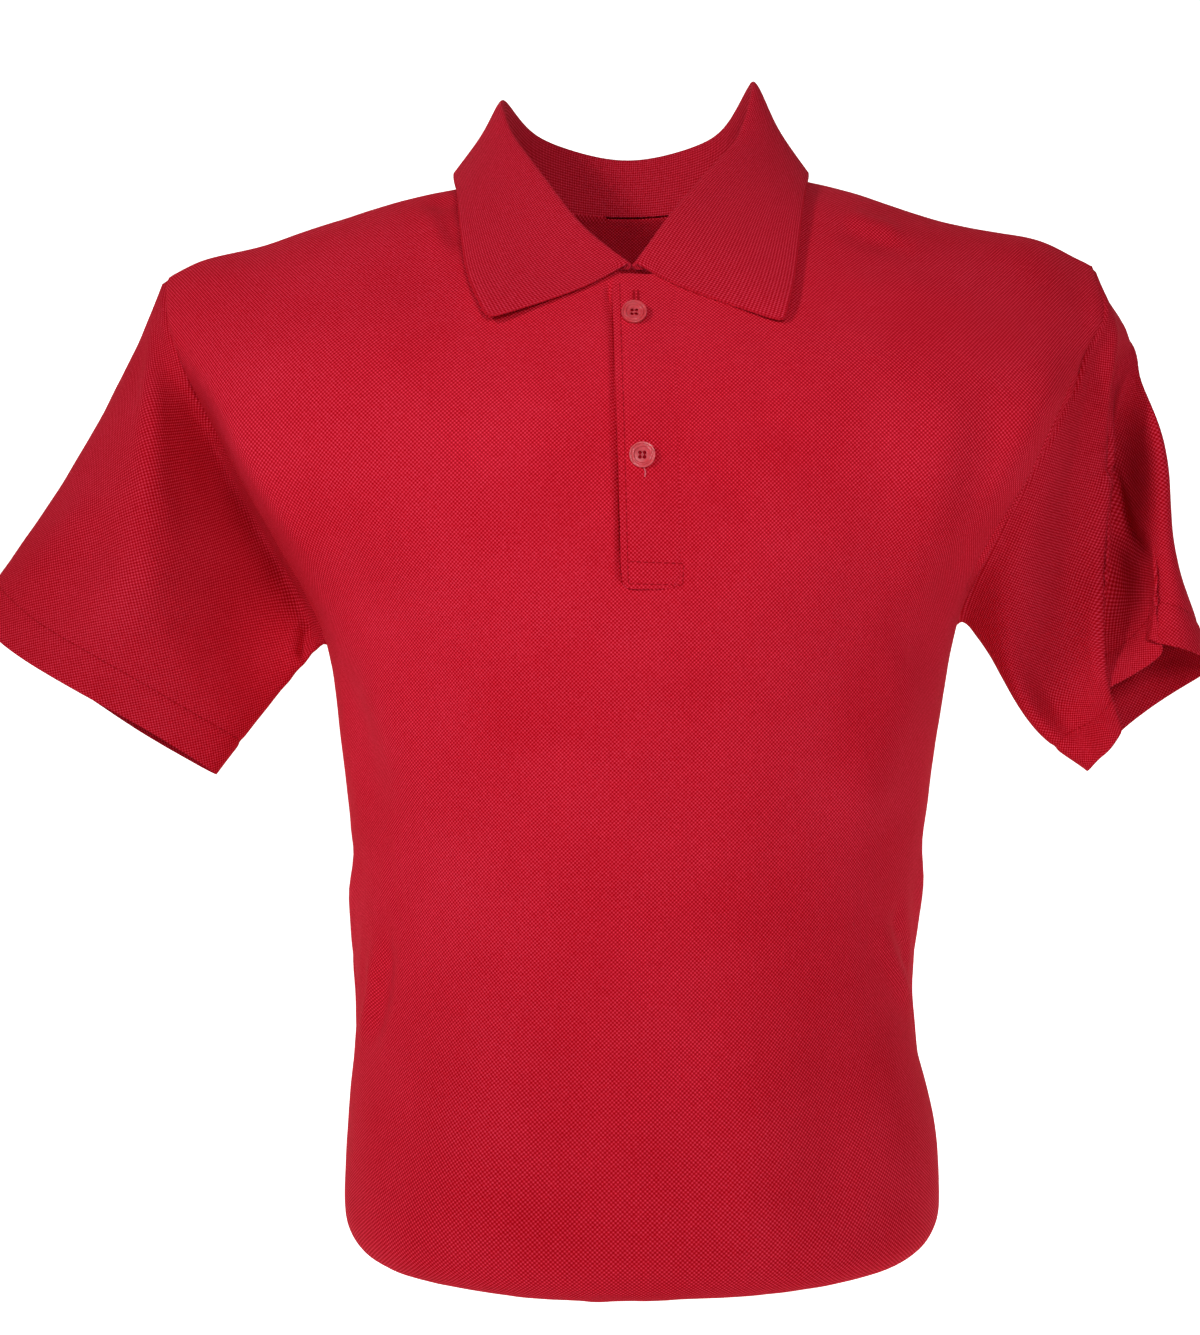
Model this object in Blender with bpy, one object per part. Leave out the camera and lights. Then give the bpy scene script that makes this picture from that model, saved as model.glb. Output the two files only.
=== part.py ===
"""A short-sleeved polo shirt in pique knit, filled out as if worn, with empty sleeves.

Metres, +Z up. The front faces -Y and the wearer's right is at -X. The origin is at the middle of
the neck, level with the highest points of the shoulder seams, where the wearer holds the shirt up.
Every cut piece is a closed wall of cloth. Pieces that are sewn together meet edge to edge, with
the same mitre on both sides of the seam and a small gap between them.
"""

import math
from collections import namedtuple

import bmesh
import bpy
import numpy as np
from mathutils import Matrix

# Cloth
WALL = 0.0015
COLLAR_WALL = 0.0018
GAP = 0.0004
SMOOTH_ANGLE = math.radians(50)
TINY = 1e-12

# Body: the lower end is turned under, inwards and then up, round an oval of this mean radius
CENTRE_X = -0.003
BASE_RADIUS = 0.0255
TURN_IN = 0.034
TURN_UP = 0.014
TURN_UP_LEAN = math.radians(17.5)
TUCK_MEAN_RADIUS = 0.135

# Neck: half the seam-to-seam neck width along the shoulder line, and the back neck's depth
NECK_HALF_WIDTH = 0.075
BACK_NECK_Z = -0.018
NECK_CURVE = 2.2

# Grid of the two big panels
NECK_COLUMNS = 5
SHOULDER_COLUMNS = 9
HALF_SECTION_POINTS = 65

# Placket: x of the upper strip's free edge at both ends, how far the strips stand off the front,
# how much the lower one is wider, and how far both stop short of the neckline and of the slot
PLACKET_WIDTH = 0.029
PLACKET_FREE_TOP = -0.0125
PLACKET_FREE_FOOT = -0.0080
PLACKET_LAP = WALL + 0.0004
PLACKET_UNDER_EXTRA = 0.004
PLACKET_TOP_EASE = 0.0022
PLACKET_FOOT_EASE = 0.0006
PLACKET_COLUMNS = 4

# Buttons
BUTTON_DIAMETER = 0.0126
BUTTON_THICKNESS = 0.0026
BUTTON_RIM = 0.0017
BUTTON_DISH = 0.0008
BUTTON_HOLE = 0.0014
BUTTON_HOLE_PITCH = 0.0026
BUTTON_LIFT = 0.0005
BUTTON_SIDES = 24
BUTTON_HOLE_SIDES = 10

# The body's sections, from the base up. y and z of the centre front and the centre back, the
# place of the panels' edge on the wearer's right and left (the side seam, then the armhole), how
# far the armhole stands forward and back of the shoulder line, and the section's shape: how flat
# it is at the centre, the length of its handle at the edge, the angle it meets the edge at, and
# how steeply it runs down to the edge.
Section = namedtuple(
    "Section",
    "name steps y_front z_front y_back z_back x_right z_right x_left z_left"
    " hole_front hole_back flat reach turn dip",
)
SECTIONS = [
    Section("base", 2, -0.1175, -0.539, 0.104, -0.539, -0.1515, -0.539, 0.1577, -0.539,
            0.000, 0.000, 0.60, 0.068, 90, 0.0),
    Section("hip", 2, -0.1180, -0.490, 0.103, -0.490, -0.1492, -0.490, 0.1535, -0.490,
            0.000, 0.000, 0.60, 0.068, 90, 0.0),
    Section("waist", 2, -0.1155, -0.430, 0.096, -0.430, -0.1430, -0.430, 0.1405, -0.430,
            0.000, 0.000, 0.60, 0.062, 90, 0.0),
    Section("ribs", 2, -0.1175, -0.340, 0.093, -0.340, -0.1480, -0.338, 0.1503, -0.336,
            0.000, 0.000, 0.60, 0.064, 90, 0.0),
    Section("underarm", 2, -0.1235, -0.245, 0.100, -0.245, -0.1595, -0.250, 0.1655, -0.241,
            0.000, 0.000, 0.60, 0.066, 90, 0.0),
    Section("armhole_low", 2, -0.1240, -0.206, 0.106, -0.205, -0.1750, -0.210, 0.1800, -0.196,
            0.038, 0.038, 0.60, 0.052, 78, 0.1),
    Section("armhole_mid", 2, -0.1190, -0.156, 0.107, -0.160, -0.2000, -0.167, 0.2020, -0.152,
            0.054, 0.050, 0.58, 0.048, 66, 0.1),
    Section("armhole_high", 2, -0.1060, -0.114, 0.101, -0.112, -0.2230, -0.126, 0.2220, -0.115,
            0.048, 0.048, 0.54, 0.044, 56, 0.1),
    Section("yoke", 2, -0.0780, -0.068, 0.080, -0.055, -0.2390, -0.088, 0.2330, -0.079,
            0.026, 0.028, 0.46, 0.044, 38, 0.2),
    Section("shoulder", 2, -0.0420, -0.022, 0.047, -0.014, -0.2430, -0.070, 0.2360, -0.060,
            0.010, 0.011, 0.36, 0.046, 18, 0.4),
    Section("ridge", 0, 0.0000, 0.006, 0.000, 0.006, -0.2444, -0.0614, 0.2366, -0.051,
            0.000, 0.000, 0.29, 0.052, 0, 0.44),
]
UNDERARM, YOKE, RIDGE = 4, 8, 10
PLACKET_FOOT = UNDERARM + 0.5
TUCK_ROWS = 6

# Fold lines of the empty sleeves. Each runs from its share of the way round the armhole (0 at the
# underarm, up the front, 0.5 at the shoulder point, down the back) to the cuff, and has its place
# a third and two thirds of the way down and at the cuff's edge.
Fold = namedtuple("Fold", "name share third two_thirds cuff")
RIGHT_SLEEVE = [
    Fold("under", 0.00,
         (-0.1810, 0.002, -0.2730), (-0.1990, -0.004, -0.2970), (-0.2127, -0.010, -0.3173)),
    Fold("front_low", 0.16,
         (-0.1929, -0.008, -0.2513), (-0.2197, -0.025, -0.2728), (-0.2483, -0.028, -0.2921)),
    Fold("front_mid", 0.30,
         (-0.2279, -0.026, -0.1980), (-0.2546, -0.040, -0.2339), (-0.2864, -0.034, -0.2702)),
    Fold("front_high", 0.42,
         (-0.2494, -0.034, -0.1579), (-0.2808, -0.032, -0.2058), (-0.3203, -0.020, -0.2513)),
    Fold("over", 0.50,
         (-0.2688, 0.000, -0.1160), (-0.3032, 0.000, -0.1742), (-0.3458, 0.000, -0.2320)),
    Fold("back_high", 0.60,
         (-0.2656, 0.030, -0.1393), (-0.2975, 0.028, -0.1925), (-0.3293, 0.022, -0.2484)),
    Fold("back_mid", 0.75,
         (-0.2311, 0.045, -0.2024), (-0.2598, 0.040, -0.2402), (-0.2874, 0.032, -0.2787)),
    Fold("back_low", 0.88,
         (-0.1980, 0.030, -0.2457), (-0.2246, 0.028, -0.2723), (-0.2559, 0.020, -0.2975)),
]
LEFT_SLEEVE = [
    Fold("under", 0.000,
         (0.1862, 0.000, -0.2626), (0.2080, 0.000, -0.2944), (0.2340, 0.000, -0.3136)),
    Fold("front_low", 0.160,
         (0.1933, -0.035, -0.2460), (0.2130, -0.032, -0.2815), (0.2360, -0.026, -0.3085)),
    Fold("front_mid", 0.300,
         (0.2131, -0.058, -0.2120), (0.2240, -0.056, -0.2615), (0.2395, -0.046, -0.3030)),
    Fold("front_high", 0.400,
         (0.2275, -0.060, -0.1785), (0.2300, -0.060, -0.2422), (0.2430, -0.053, -0.2968)),
    Fold("front_ridge", 0.458,
         (0.2380, -0.050, -0.1435), (0.2356, -0.060, -0.2217), (0.2464, -0.053, -0.2898)),
    Fold("front_valley", 0.500,
         (0.2374, -0.022, -0.1404), (0.2373, -0.020, -0.2181), (0.2416, -0.018, -0.2718)),
    Fold("crease", 0.542,
         (0.2471, -0.018, -0.1435), (0.2685, -0.010, -0.2049), (0.2790, -0.008, -0.2502)),
    Fold("flap_edge", 0.583,
         (0.2630, -0.020, -0.1265), (0.2721, -0.028, -0.1954), (0.2545, -0.032, -0.2448)),
    Fold("over", 0.667,
         (0.2714, 0.000, -0.1342), (0.2839, 0.000, -0.2018), (0.3011, 0.000, -0.2574)),
    Fold("back_mid", 0.792,
         (0.2553, 0.045, -0.1537), (0.2654, 0.043, -0.2187), (0.2829, 0.032, -0.2755)),
    Fold("back_low", 0.917,
         (0.2125, 0.035, -0.2343), (0.2310, 0.035, -0.2723), (0.2553, 0.028, -0.2954)),
]
SLEEVE_ROWS = 9
SLEEVE_BLEND = 0.55

# The collar, from the right front end round the back to the left one: the share of the neck seam,
# the top of the fold, and the free edge. It is folded at the neck's own seam at both front ends.
Leaf = namedtuple("Leaf", "share fold edge")
COLLAR = [
    Leaf(0.000, (-0.0042, -0.0790, -0.0630), (-0.0723, -0.0960, -0.0926)),
    Leaf(0.075, (-0.0270, -0.0690, -0.0430), (-0.0827, -0.0860, -0.0670)),
    Leaf(0.150, (-0.0470, -0.0500, -0.0140), (-0.0880, -0.0650, -0.0400)),
    Leaf(0.225, (-0.0640, -0.0260, 0.0130), (-0.0905, -0.0380, -0.0180)),
    Leaf(0.300, (-0.0690, 0.0030, 0.0330), (-0.0940, -0.0020, -0.0010)),
    Leaf(0.390, (-0.0520, 0.0400, 0.0240), (-0.0740, 0.0520, -0.0180)),
    Leaf(0.500, (-0.0030, 0.0570, 0.0150), (-0.0030, 0.0720, -0.0360)),
    Leaf(0.610, (0.0460, 0.0400, 0.0250), (0.0690, 0.0520, -0.0180)),
    Leaf(0.700, (0.0620, 0.0030, 0.0400), (0.0890, -0.0020, -0.0020)),
    Leaf(0.775, (0.0540, -0.0210, 0.0130), (0.0850, -0.0380, -0.0190)),
    Leaf(0.850, (0.0330, -0.0440, -0.0140), (0.0810, -0.0650, -0.0420)),
    Leaf(0.925, (0.0140, -0.0660, -0.0400), (0.0765, -0.0860, -0.0690)),
    Leaf(1.000, (-0.0010, -0.0790, -0.0630), (0.0701, -0.0960, -0.0945)),
]
COLLAR_FOLD_RADIUS = 0.0016
COLLAR_FOLD_DROP = 0.9
COLLAR_COLUMNS = 40
STAND_LIFT = 0.0014
COLLAR_CLEARANCE = WALL / 2 + COLLAR_WALL / 2 + 0.0006
COLLAR_EDGE_LIFT = 0.0030
FALL_ROWS = (0.33, 0.66, 1.0)
FALL_START_DOWN, FALL_START_IN, FALL_END = 0.225, 0.15, 0.3

# Where the collar is kept off the panels: the part of them it can reach
UNDER_COLLAR_LEVEL = 6.5
UNDER_COLLAR_SHARE = 0.6
UNDER_COLLAR_ROWS, UNDER_COLLAR_COLUMNS = 30, 61
SURFACE_STEP = 0.01

BUTTONS = [("button_top", -0.0018, -0.0920), ("button_bottom", 0.0016, -0.1612)]

PIQUE_RED = (0.565, 0.011, 0.030, 1.0)
RIB_RED = (0.480, 0.010, 0.026, 1.0)
BUTTON_RED = (0.520, 0.060, 0.075, 1.0)


def clear_scene():
    for obj in list(bpy.data.objects):
        bpy.data.objects.remove(obj)


def material(name, colour, roughness):
    made = bpy.data.materials.new(name)
    made.use_nodes = True
    shader = made.node_tree.nodes["Principled BSDF"]
    shader.inputs["Base Color"].default_value = colour
    shader.inputs["Roughness"].default_value = roughness
    shader.inputs["Metallic"].default_value = 0.0
    return made


def through(points, at):
    """The Catmull-Rom curve through the rows of points, at a place counted in rows."""
    points = np.asarray(points, float)
    last = len(points) - 1
    at = min(max(at, 0.0), float(last))
    low = min(int(at), last - 1)
    share = at - low
    before = points[low - 1] if low > 0 else 2 * points[0] - points[1]
    after = points[low + 2] if low + 2 <= last else 2 * points[last] - points[last - 1]
    start, end = points[low], points[low + 1]
    return start + 0.5 * share * (
        end - before
        + share * (2 * before - 5 * start + 4 * end - after)
        + share * share * (3 * (start - end) + after - before)
    )


def bezier(handles, share):
    a, b, c, d = handles
    rest = 1 - share
    return rest**3 * a + 3 * rest**2 * share * b + 3 * rest * share**2 * c + share**3 * d


def resampled(points, shares):
    """The points of a polyline at these shares of its length."""
    points = np.asarray(points, float)
    along = np.concatenate([[0.0], np.cumsum(np.linalg.norm(np.diff(points, axis=0), axis=1))])
    at = np.asarray(shares) * along[-1]
    return np.stack([np.interp(at, along, points[:, axis]) for axis in range(3)], axis=1)


def section_handles(section, face, side):
    """The four handles of half a section: face is front or back, side is the wearer's."""
    forward = -1.0 if face == "front" else 1.0
    y_mid, z_mid = (
        (section.y_front, section.z_front) if face == "front" else (section.y_back, section.z_back)
    )
    x_edge, z_edge = (
        (section.x_right, section.z_right) if side == "right" else (section.x_left, section.z_left)
    )
    hole = section.hole_front if face == "front" else section.hole_back
    out = math.copysign(1.0, x_edge)
    turn = math.radians(section.turn)
    middle = np.array([CENTRE_X, y_mid, z_mid])
    edge = np.array([x_edge, forward * hole, z_edge])
    back_in = np.array([-out * math.cos(turn), forward * math.sin(turn), section.dip])
    return np.array([
        middle,
        middle + np.array([section.flat * (x_edge - CENTRE_X), 0.0, 0.0]),
        edge + section.reach * back_in,
        edge,
    ])


class Body:
    """The shirt's body as a smooth surface: face, side, share of the half section, and level."""

    def __init__(self):
        self.handles = {
            (face, side): np.array([section_handles(s, face, side) for s in SECTIONS])
            for face in ("front", "back")
            for side in ("right", "left")
        }
        self.sections = {}

    def section(self, face, side, level):
        key = (face, side, round(level, 5))
        if key not in self.sections:
            handles = through(self.handles[face, side], level)
            if level <= UNDERARM:
                handles[2:, 1] -= handles[3, 1]
            shares = np.linspace(0, 1, HALF_SECTION_POINTS)
            self.sections[key] = np.array([bezier(handles, share) for share in shares])
        return self.sections[key]

    def point(self, face, across, level):
        side = "left" if across >= 0 else "right"
        return resampled(self.section(face, side, level), [abs(across)])[0]

    def half_width(self, face, side, level):
        return np.linalg.norm(np.diff(self.section(face, side, level), axis=0), axis=1).sum()

    def level_of(self, face, z):
        """The level at which the centre line passes a height."""
        low, high = 0.0, float(RIDGE)
        for _ in range(40):
            middle = (low + high) / 2
            low, high = (middle, high) if self.point(face, 0.0, middle)[2] < z else (low, middle)
        return low


def neck_share(body):
    """The share of the ridge section that lies inside the neck, on each side."""
    return {
        side: NECK_HALF_WIDTH / body.half_width("front", side, RIDGE) for side in ("right", "left")
    }


def levels():
    """The rows of the panels, from the base up, with the base and the ridge."""
    rows = []
    for index, section in enumerate(SECTIONS[:-1]):
        rows += [index + step / section.steps for step in range(section.steps)]
    return rows + [float(RIDGE)]


def columns(body):
    """Each column's share across at the ridge, from the wearer's right edge to the left edge."""
    inside = neck_share(body)
    shares = []
    for side, sign in (("right", -1.0), ("left", 1.0)):
        neck = inside[side]
        half = [neck * k / NECK_COLUMNS for k in range(NECK_COLUMNS)]
        half += [neck + (1 - neck) * k / SHOULDER_COLUMNS for k in range(SHOULDER_COLUMNS + 1)]
        shares.append([sign * share for share in half])
    return shares[0][::-1] + shares[1][1:]


def top_level(body, face, across):
    """Where a column ends: on the neckline inside the neck, at the shoulder seam beyond it."""
    neck = neck_share(body)["left" if across >= 0 else "right"]
    lowest = float(YOKE) if face == "front" else body.level_of("back", BACK_NECK_Z)
    inside = min(abs(across) / neck, 1.0)
    return RIDGE - (RIDGE - lowest) * math.sqrt(max(1 - inside**NECK_CURVE, 0.0))


def stretched(level, top):
    """A row's own level in a column that ends at this top."""
    if level <= PLACKET_FOOT:
        return level
    return PLACKET_FOOT + (level - PLACKET_FOOT) * (top - PLACKET_FOOT) / (RIDGE - PLACKET_FOOT)


def placket_edges(body, level):
    """x of the upper placket's free edge and of its sewn edge at a level of the front."""
    z = body.point("front", 0.0, level)[2]
    top, foot = (body.point("front", 0.0, at)[2] for at in (float(YOKE), PLACKET_FOOT))
    share = min(max((z - foot) / (top - foot), 0.0), 1.0)
    free = PLACKET_FREE_FOOT + share * (PLACKET_FREE_TOP - PLACKET_FREE_FOOT)
    return free, free + PLACKET_WIDTH


def tuck(point, centre, turned):
    """A point of the base section carried round the fold and along the cloth turned under."""
    arc = BASE_RADIUS * math.pi / 2
    if turned <= arc:
        angle = turned / BASE_RADIUS
        inward, down = BASE_RADIUS * (1 - math.cos(angle)), BASE_RADIUS * math.sin(angle)
    else:
        flat = min(turned - arc, TURN_IN)
        raised = turned - arc - flat
        inward = BASE_RADIUS + flat + raised * math.sin(TURN_UP_LEAN)
        down = BASE_RADIUS - raised * math.cos(TURN_UP_LEAN)
    kept = 1 - inward / TUCK_MEAN_RADIUS
    return np.array([
        centre[0] + kept * (point[0] - centre[0]),
        centre[1] + kept * (point[1] - centre[1]),
        point[2] - down,
    ])


def panel_grid(body, face):
    """Points of a panel, row by row from the turned-under hem to the shoulder and neck."""
    across = columns(body)
    middle = len(across) // 2
    rows = []
    base = [body.point(face, share, 0.0) for share in across]
    centre = (CENTRE_X, 0.0)
    arc = BASE_RADIUS * math.pi / 2
    hem = arc + TURN_IN + TURN_UP
    for turned in (hem, hem - TURN_UP, arc + TURN_IN / 2, arc, arc * 2 / 3, arc / 3):
        rows.append([tuck(point, centre, turned) for point in base])
    for level in levels():
        row = []
        for index, share in enumerate(across):
            at = stretched(level, top_level(body, face, share))
            if face == "front" and index == middle + 1 and level >= PLACKET_FOOT:
                seam = placket_edges(body, at)[1] - CENTRE_X
                share = seam / body.half_width("front", "left", at)
            row.append(body.point(face, share, at))
        rows.append(row)
    return np.array(rows)


def loop_points(folds, hole, share_down):
    """The sleeve's section through its fold lines, this share of the way down to the cuff."""
    lines = []
    for fold in folds:
        start = resampled(hole, [fold.share])[0]
        lines.append(through([start, fold.third, fold.two_thirds, fold.cuff], 3 * share_down))
    return np.array(lines)


def round_loop(points, shares, at):
    """The closed Catmull-Rom curve through a sleeve's fold lines, at a share of the way round."""
    count = len(points)
    bounds = list(shares) + [1.0]
    index = max(k for k in range(count) if bounds[k] <= at + 1e-9)
    part = (at - bounds[index]) / (bounds[index + 1] - bounds[index])
    around = [points[(index + k) % count] for k in (-1, 0, 1, 2)]
    lengths = [max(np.linalg.norm(around[k + 1] - around[k]), 1e-6) ** 0.5 for k in range(3)]
    before = around[1] - (around[1] - around[0]) * lengths[1] / lengths[0]
    after = around[2] + (around[3] - around[2]) * lengths[1] / lengths[2]
    return through([before, around[1], around[2], after], 1 + part)


def hole_loop(front, back, side):
    """The armhole's points: from the underarm up the front edge and down the back edge."""
    column = 0 if side == "right" else -1
    first = TUCK_ROWS + levels().index(float(UNDERARM))
    up = front[first:, column]
    down = back[first:, column][::-1]
    return np.concatenate([up, down[1:-1]])


def sleeve_grid(folds, hole):
    """Rows of a sleeve from the armhole to the cuff, a column for each point of the armhole."""
    count = len(hole)
    closed_hole = np.concatenate([hole, hole[:1]])
    along = np.concatenate([[0.0], np.cumsum(np.linalg.norm(np.diff(closed_hole, axis=0), axis=1))])
    shoulder = count // 2
    half = along[shoulder]
    shares = [
        0.5 * along[k] / half if k <= shoulder else 0.5 + 0.5 * (along[k] - half) / (along[-1] - half)
        for k in range(count)
    ]
    even = resampled(closed_hole, np.linspace(0, 1, 4 * count + 1))
    marks = [fold.share for fold in folds]
    start = loop_points(folds, even, 0.0)
    rows = []
    for row in range(SLEEVE_ROWS + 1):
        down = row / SLEEVE_ROWS
        lines = loop_points(folds, even, down)
        fade = max(1 - down / SLEEVE_BLEND, 0.0) ** 2
        rows.append([
            round_loop(lines, marks, share) + fade * (hole[k] - round_loop(start, marks, share))
            for k, share in enumerate(shares)
        ])
    return np.array(rows)


def faces_of(rows, count, closed, skip=()):
    """Quads of a grid as lists of vertex numbers; closed joins the last column to the first."""
    faces = []
    for row in range(rows - 1):
        for column in range(count if closed else count - 1):
            if (row, column) in skip:
                continue
            after = (column + 1) % count
            low, high = row * count, (row + 1) * count
            faces.append((low + column, low + after, high + after, high + column))
    return faces


def key_of(point):
    return tuple(int(round(value * 1e6)) for value in point)


class Sheet:
    """One cut piece before it gets its thickness: a grid of points and its quads."""

    def __init__(self, name, grid, closed=False, flip=False, skip=(), wall=WALL):
        self.name, self.wall = name, wall
        self.rows, self.count = grid.shape[:2]
        self.points = grid.reshape(-1, 3)
        faces = faces_of(self.rows, self.count, closed, skip)
        self.faces = [face[::-1] for face in faces] if flip else faces
        self.pulls = np.zeros_like(self.points)

    def corner_normals(self):
        normals = np.zeros_like(self.points)
        for face in self.faces:
            a, b, c, d = self.points[list(face)]
            across = np.cross(c - a, d - b)
            for vertex in face:
                normals[vertex] += across
        return normals

    def pull(self, vertices, towards):
        """Moves seam points back from the seam by half the gap, towards their neighbours."""
        for vertex, neighbour in zip(vertices, towards):
            step = self.points[neighbour] - self.points[vertex]
            self.pulls[vertex] += step / np.linalg.norm(step) * GAP / 2


def unit(vectors):
    return vectors / np.maximum(np.linalg.norm(vectors, axis=-1, keepdims=True), TINY)


def shared_normals(sheets):
    """Unit normals, the same on every sheet at points that lie on one seam.

    The two panels count as one there, so that a sleeve's seam is mitred halfway at the underarm too.
    """
    sums = {}
    for sheet in sheets:
        part = "panels" if sheet.name.endswith("panel") else sheet.name
        for point, normal in zip(sheet.points, unit(sheet.corner_normals())):
            met = sums.setdefault(key_of(point), {})
            met[part] = met.get(part, 0) + normal
    mitres = {key: unit(sum(unit(normal) for normal in met.values())) for key, met in sums.items()}
    return [np.array([mitres[key_of(point)] for point in sheet.points]) for sheet in sheets]


def solid(sheet, normals, look):
    """The closed wall of a sheet: its outer face, its inner face, and a rim round every edge."""
    used = sorted({vertex for face in sheet.faces for vertex in face})
    number = {vertex: index for index, vertex in enumerate(used)}
    middle = (sheet.points + sheet.pulls)[used]
    offset = normals[used] * sheet.wall / 2
    count = len(used)
    outer = [tuple(number[v] for v in face) for face in sheet.faces]
    inner = [tuple(number[v] + count for v in face[::-1]) for face in sheet.faces]
    directed = {(face[k], face[(k + 1) % 4]) for face in outer for k in range(4)}
    rim = [(b, a, a + count, b + count) for a, b in directed if (b, a) not in directed]
    mesh = bpy.data.meshes.new(sheet.name)
    points = np.concatenate([middle + offset, middle - offset])
    mesh.from_pydata(points.tolist(), [], outer + inner + sorted(rim))
    mesh.validate()
    made = bpy.data.objects.new(sheet.name, mesh)
    bpy.context.collection.objects.link(made)
    made.data.materials.append(look)
    mesh.shade_smooth()
    mesh.set_sharp_from_angle(angle=SMOOTH_ANGLE)
    return made


def panel_sheet(name, body, face):
    grid = panel_grid(body, face)
    rows, count = grid.shape[:2]
    middle = count // 2
    foot = TUCK_ROWS + levels().index(PLACKET_FOOT)
    slot = {(row, middle) for row in range(foot, rows - 1)} if face == "front" else set()
    sheet = Sheet(name, grid, flip=face == "back", skip=slot)
    index = np.arange(rows * count).reshape(rows, count)
    sheet.pull(index[:, 0], index[:, 1])
    sheet.pull(index[:, -1], index[:, -2])
    for column in range(count):
        if abs(column - middle) >= NECK_COLUMNS:
            sheet.pull([index[-1, column]], [index[-2, column]])
    return grid, sheet


def sleeve_sheet(name, folds, front, back, side):
    grid = sleeve_grid(folds, hole_loop(front, back, side))
    sheet = Sheet(name, grid, closed=True, flip=side == "left")
    count = grid.shape[1]
    sheet.pull(range(count), range(count, 2 * count))
    return sheet


def surface_normal(body, face, share, level):
    step = SURFACE_STEP
    along = body.point(face, share + step, level) - body.point(face, share - step, level)
    up = body.point(face, share, level + step) - body.point(face, share, level - step)
    normal = np.cross(along, up) * (1.0 if face == "front" else -1.0)
    return normal / np.linalg.norm(normal)


def placket_sheet(name, body):
    """A placket strip: it laps over or under the front's cut edge and is sewn to the other one."""
    upper = name == "placket_top"
    rows = []
    for level in (level for level in levels() if level >= PLACKET_FOOT):
        at = stretched(level, float(YOKE))
        z = body.point("front", 0.0, at)[2]
        if level == PLACKET_FOOT:
            at = body.level_of("front", z + PLACKET_FOOT_EASE)
        if level == RIDGE:
            at = body.level_of("front", z - PLACKET_TOP_EASE)
        free, sewn = placket_edges(body, at)
        start, end = (free, sewn - GAP) if upper else (CENTRE_X + GAP, sewn + PLACKET_UNDER_EXTRA)
        row = []
        for x in np.linspace(start, end, PLACKET_COLUMNS + 1):
            side = "left" if x >= CENTRE_X else "right"
            share = (x - CENTRE_X) / body.half_width("front", side, at)
            lap = placket_lap(x, sewn) if upper else placket_lap(x, sewn) - PLACKET_LAP
            row.append(body.point("front", share, at) + lap * surface_normal(body, "front", share, at))
        rows.append(row)
    return Sheet(name, np.array(rows))


def placket_lap(x, sewn):
    """How far the upper strip stands off the front: it sinks level with it at its sewn edge."""
    return PLACKET_LAP * (1 - max((x - CENTRE_X) / (sewn - CENTRE_X), 0.0))


def settled(points, normals, place, least, most=math.inf):
    """Moves a place along the normal of the nearest point until its height is within these."""
    away = place - points
    index = int(np.argmin((away**2).sum(axis=1)))
    height = float(away[index] @ normals[index])
    return place + normals[index] * (min(max(height, least), most) - height)


def panels_under_collar(body):
    """Points and normals spread over the upper body, for keeping the collar off it."""
    points, normals = [], []
    for face in ("front", "back"):
        for level in np.linspace(UNDER_COLLAR_LEVEL, RIDGE, UNDER_COLLAR_ROWS):
            for share in np.linspace(-UNDER_COLLAR_SHARE, UNDER_COLLAR_SHARE, UNDER_COLLAR_COLUMNS):
                points.append(body.point(face, share, level))
                near = min(level, RIDGE - 2 * SURFACE_STEP)
                normals.append(surface_normal(body, face, share, near))
    return np.array(points), np.array(normals)


def neck_seam(front, back):
    """The neckline from the centre front round the wearer's right and the back to the front."""
    middle = front.shape[1] // 2
    inside = slice(middle - NECK_COLUMNS, middle + NECK_COLUMNS + 1)
    forward, behind = front[-1, inside], back[-1, inside]
    return np.concatenate([
        forward[NECK_COLUMNS::-1], behind[1:-1], forward[:NECK_COLUMNS - 1:-1],
    ])


def collar_sheet(body, front, back):
    """Rows from the front end round the neck: seam, stand, fold, fall and free edge."""
    points, normals = panels_under_collar(body)
    seam = neck_seam(front, back)
    marks = [leaf.share for leaf in COLLAR]
    rows = []
    for step in range(COLLAR_COLUMNS + 1):
        share = step / COLLAR_COLUMNS
        at = float(np.interp(share, marks, range(len(marks))))
        fold = through([leaf.fold for leaf in COLLAR], at)
        edge = through([leaf.edge for leaf in COLLAR], at)
        edge = settled(points, normals, edge, COLLAR_CLEARANCE, COLLAR_CLEARANCE + COLLAR_EDGE_LIFT)
        start = resampled(seam, [share])[0]
        if step in (0, COLLAR_COLUMNS):
            start[0] = fold[0]
        up = (fold - start) / np.linalg.norm(fold - start)
        start = start + STAND_LIFT * up
        down = (edge - fold) / np.linalg.norm(edge - fold)
        apart = down - (down @ up) * up
        apart = apart / np.linalg.norm(apart)
        inside = fold - COLLAR_FOLD_RADIUS * (apart + COLLAR_FOLD_DROP * up)
        outside = fold + COLLAR_FOLD_RADIUS * (apart - COLLAR_FOLD_DROP * up)
        span = np.linalg.norm(edge - outside)
        handles = [
            outside, outside + span * (FALL_START_DOWN * down - FALL_START_IN * up),
            edge - FALL_END * span * down, edge,
        ]
        fall = [
            settled(points, normals, bezier(handles, part), COLLAR_CLEARANCE) for part in FALL_ROWS
        ]
        rows.append([start, 0.5 * (start + inside), inside, fold, outside] + fall)
    return Sheet("collar", np.array(rows), wall=COLLAR_WALL)


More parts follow.
